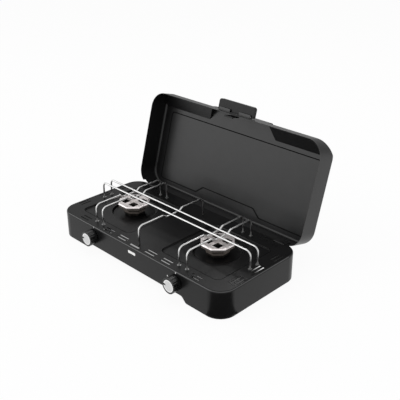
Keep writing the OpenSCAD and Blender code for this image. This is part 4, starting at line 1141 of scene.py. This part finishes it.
@dataclass
class Knobs(Assembly):
    """The two knobs with their bright faces, pointers and stems."""

    face_y: float = -138.8
    face_r: float = 15.0
    pointer_l: float = 4.0
    pointer_w: float = 2.0
    pointer_sink: float = 0.1
    pointer_rows: int = 5
    pointer_columns: int = 7

    def build(self) -> None:
        """Dress the knobs' nodes and fill their pointers."""
        for side in Side:
            self.wear(KNOB_BLACK, f"knob_{side.word}")
            self.wear(KNOB_FACE, f"knob_face_{side.word}")
            self.wear(ZINC, f"valve_stem_{side.word}")
            self.pointer(side)

    def pointer(self, side: Side) -> None:
        """Dark fill in the notch of one face: a flat strip whose outer end follows the disc.

        Args:
            side: the knob's half.
        """
        v = np.linspace(-0.5, 0.5, self.pointer_columns)[None, :] * self.pointer_w
        u = np.linspace(0, 1, self.pointer_rows)[:, None]
        rim = -np.sqrt(self.face_r ** 2 - v ** 2)
        x = side.value * BURNER_X + rim + u * (self.pointer_l - self.face_r - rim)
        points = np.stack(np.broadcast_arrays(x, self.face_y + self.pointer_sink, KNOB_Z + v), -1)
        obj = put_grid(f"knob_pointer_{side.word}", points, flip=True)
        self.piece(obj, Body[f"KNOB_{side.name}"], "knob_plastic", CREASE)


@dataclass(frozen=True)
class Card:
    """A grey card for reflections: a sector of a flat ring or of an upright cylinder."""

    name: str
    axis: tuple
    reach: tuple
    height: tuple
    span_deg: tuple
    columns: int
    tone: float
    rows: int = 4

    def grid(self) -> Array:
        """Points from the inner or lower edge to the other, each row along the sector."""
        turn = np.radians(np.linspace(*self.span_deg, self.columns))[None, :]
        reach, z = (np.linspace(*ends, self.rows)[:, None] for ends in (self.reach, self.height))
        x, y = self.axis[0] + reach * np.sin(turn), self.axis[1] - reach * np.cos(turn)
        return np.stack(np.broadcast_arrays(x, y, z), -1)


@dataclass(frozen=True)
class Lamp:
    """A round soft lamp, with its place and size in metres and its power in watts."""

    name: str
    place: tuple
    size: float
    power: float
    in_gloss: bool


@dataclass
class Studio:
    """Floor, cards, soft light and the camera at the photograph's angle."""

    camera_mm: tuple = (950.0745, -917.4056, 764.5821)
    azimuth_deg: float = 44.8047
    elevation_deg: float = 26.1699
    roll_deg: float = -0.0658
    focal_share: float = 671.6398 / 400.0
    sensor_mm: float = 36.0
    clip_end_m: float = 50.0
    world_strength: float = 0.6
    floor_reach_m: float = 12.0
    floor_colour: tuple = (0.9, 0.9, 0.9, 1.0)
    floor_roughness: float = 0.9
    floor_glow: float = 0.93
    shade_half: tuple = (238.0, 92.0)
    shade_fade: float = 24.0
    shade_span: tuple = (30.0, 130.0)
    shade_share: tuple = (0.62, 0.92)
    cards: tuple = (
        Card("corner_card", (218.0, -82.0), (40.0, 190.0), (1.0, 1.0), (-8.0, 108.0), 24, 0.08),
        Card("back_card", (0.0, 0.0), (2600.0, 2600.0), (0.0, 1500.0), (150.0, 290.0), 40, 0.45),
    )
    aim_m: tuple = (0.0, 0.0, 0.1)
    lamps: tuple = (
        Lamp("key", (-2.4, -3.0, 1.7), 4.0, 60.0, True),
        Lamp("top", (0.0, -0.3, 2.4), 2.2, 14.0, False),
        Lamp("rim", (2.1, 1.5, 1.1), 1.5, 12.0, False),
        Lamp("glint", (-1.0, 1.6, 1.75), 0.35, 3.0, True),
    )

    def build(self) -> None:
        """Set the view transform and make floor, cards, light and camera."""
        bpy.context.scene.view_settings.view_transform = "Standard"
        self.floor()
        for card in self.cards:
            self.card(card)
        self.world()
        for lamp in self.lamps:
            self.lamp(lamp)
        self.camera()

    def seen(self, nodes: Nodes) -> Socket:
        """One for rays of the camera, of mirrors and through glass, and nought for the rest."""
        rays = nodes.add("ShaderNodeLightPath").outputs
        mirrored = nodes.math("MAXIMUM", rays["Is Camera Ray"], rays["Is Glossy Ray"])
        return nodes.math("MAXIMUM", mirrored, rays["Is Transmission Ray"])

    def under(self, nodes: Nodes) -> Socket:
        """The floor's share of glow, lowered under the tray as a painted shadow, and more so under its
        right half.

        Args:
            nodes: the floor's nodes.

        Returns:
            The share.
        """
        x, y, _ = nodes.split()
        fades = []
        for along, half, middle in zip((x, y), self.shade_half, (0.0, -FRAME_Y)):
            away = nodes.math("ABSOLUTE", nodes.math("SUBTRACT", along, middle * MM))
            fades.append(nodes.remap(away, (half * MM, (half - self.shade_fade) * MM)))
        depth = nodes.remap(x, [end * MM for end in self.shade_span], self.shade_share)
        lost = nodes.math("MULTIPLY", nodes.math("MULTIPLY", *fades), depth)
        return nodes.math("MULTIPLY_ADD", lost, -self.floor_glow, self.floor_glow)

    def floor(self) -> None:
        """A large pale floor that shows white to the camera and keeps the object's shadow."""
        corners = self.floor_reach_m * np.array([[-1, -1, 0], [1, -1, 0], [1, 1, 0], [-1, 1, 0]])
        obj = put_mesh("floor", corners, [[0, 1, 2, 3]], smooth=False)
        g = Graph("floor_white")
        g.set(Base_Color=self.floor_colour, Roughness=self.floor_roughness, Specular_IOR_Level=0.0)
        share = g.math("MULTIPLY", self.seen(g), self.under(g))
        g.blend(share, g.shader.outputs["BSDF"], g.glow("ShaderNodeEmission", 1.0))
        obj.data.materials.append(g.material)

    def card(self, card: Card) -> None:
        """One even grey card, seen by glossy rays alone."""
        obj = put_grid(card.name, card.grid(), smooth=False)
        material = bpy.data.materials.new(card.name)
        nodes = Nodes(material)
        nodes.join(nodes.glow("ShaderNodeEmission", card.tone), nodes.surface)
        obj.data.materials.append(material)
        for ray in ("camera", "diffuse", "transmission", "volume_scatter", "shadow"):
            setattr(obj, f"visible_{ray}", False)

    def world(self) -> None:
        """A pale world that shows white to the camera."""
        world = bpy.data.worlds.new("studio")
        bpy.context.scene.world = world
        nodes = Nodes(world, "ShaderNodeOutputWorld")
        pale, white = (nodes.glow("ShaderNodeBackground", s) for s in (self.world_strength, 1.0))
        nodes.blend(self.seen(nodes), pale, white)

    def lamp(self, lamp: Lamp) -> None:
        """One soft lamp, aimed at the stove."""
        light = bpy.data.lights.new(lamp.name, "AREA")
        light.shape = "DISK"
        light.size = lamp.size
        light.energy = lamp.power
        obj = put_object(lamp.name, light)
        obj.location = lamp.place
        obj.visible_glossy = lamp.in_gloss
        obj.rotation_euler = (Vector(self.aim_m) - Vector(lamp.place)).to_track_quat("-Z", "Y").to_euler()

    def camera(self) -> None:
        """The camera, from its azimuth, elevation and roll."""
        a, e, r = (math.radians(v) for v in (self.azimuth_deg, self.elevation_deg, self.roll_deg))
        back = Vector((math.sin(a) * math.cos(e), -math.cos(a) * math.cos(e), math.sin(e)))
        right = Vector((math.cos(a), math.sin(a), 0.0))
        up = back.cross(right)
        x_axis = right * math.cos(r) + up * math.sin(r)
        y_axis = up * math.cos(r) - right * math.sin(r)
        data = bpy.data.cameras.new("camera")
        data.sensor_fit = "HORIZONTAL"
        data.sensor_width = self.sensor_mm
        data.lens = self.focal_share * self.sensor_mm
        data.clip_end = self.clip_end_m
        obj = put_object("camera", data)
        turn = Matrix((x_axis, y_axis, back)).transposed().to_4x4()
        obj.matrix_world = Matrix.Translation(Vector(self.camera_mm) * MM) @ turn
        bpy.context.scene.camera = obj


def main() -> None:
    """Build the studio and each assembly in order."""
    logging.basicConfig(level=logging.INFO, format="%(name)s: %(message)s")
    Studio().build()
    wardrobe = Wardrobe()
    for assembly in (Tray, Burners, Supports, Lid, Latch, Knobs):
        assembly(wardrobe).build()
        LOG.info("built %s", assembly.__name__)


if __name__ == "__main__":
    main()
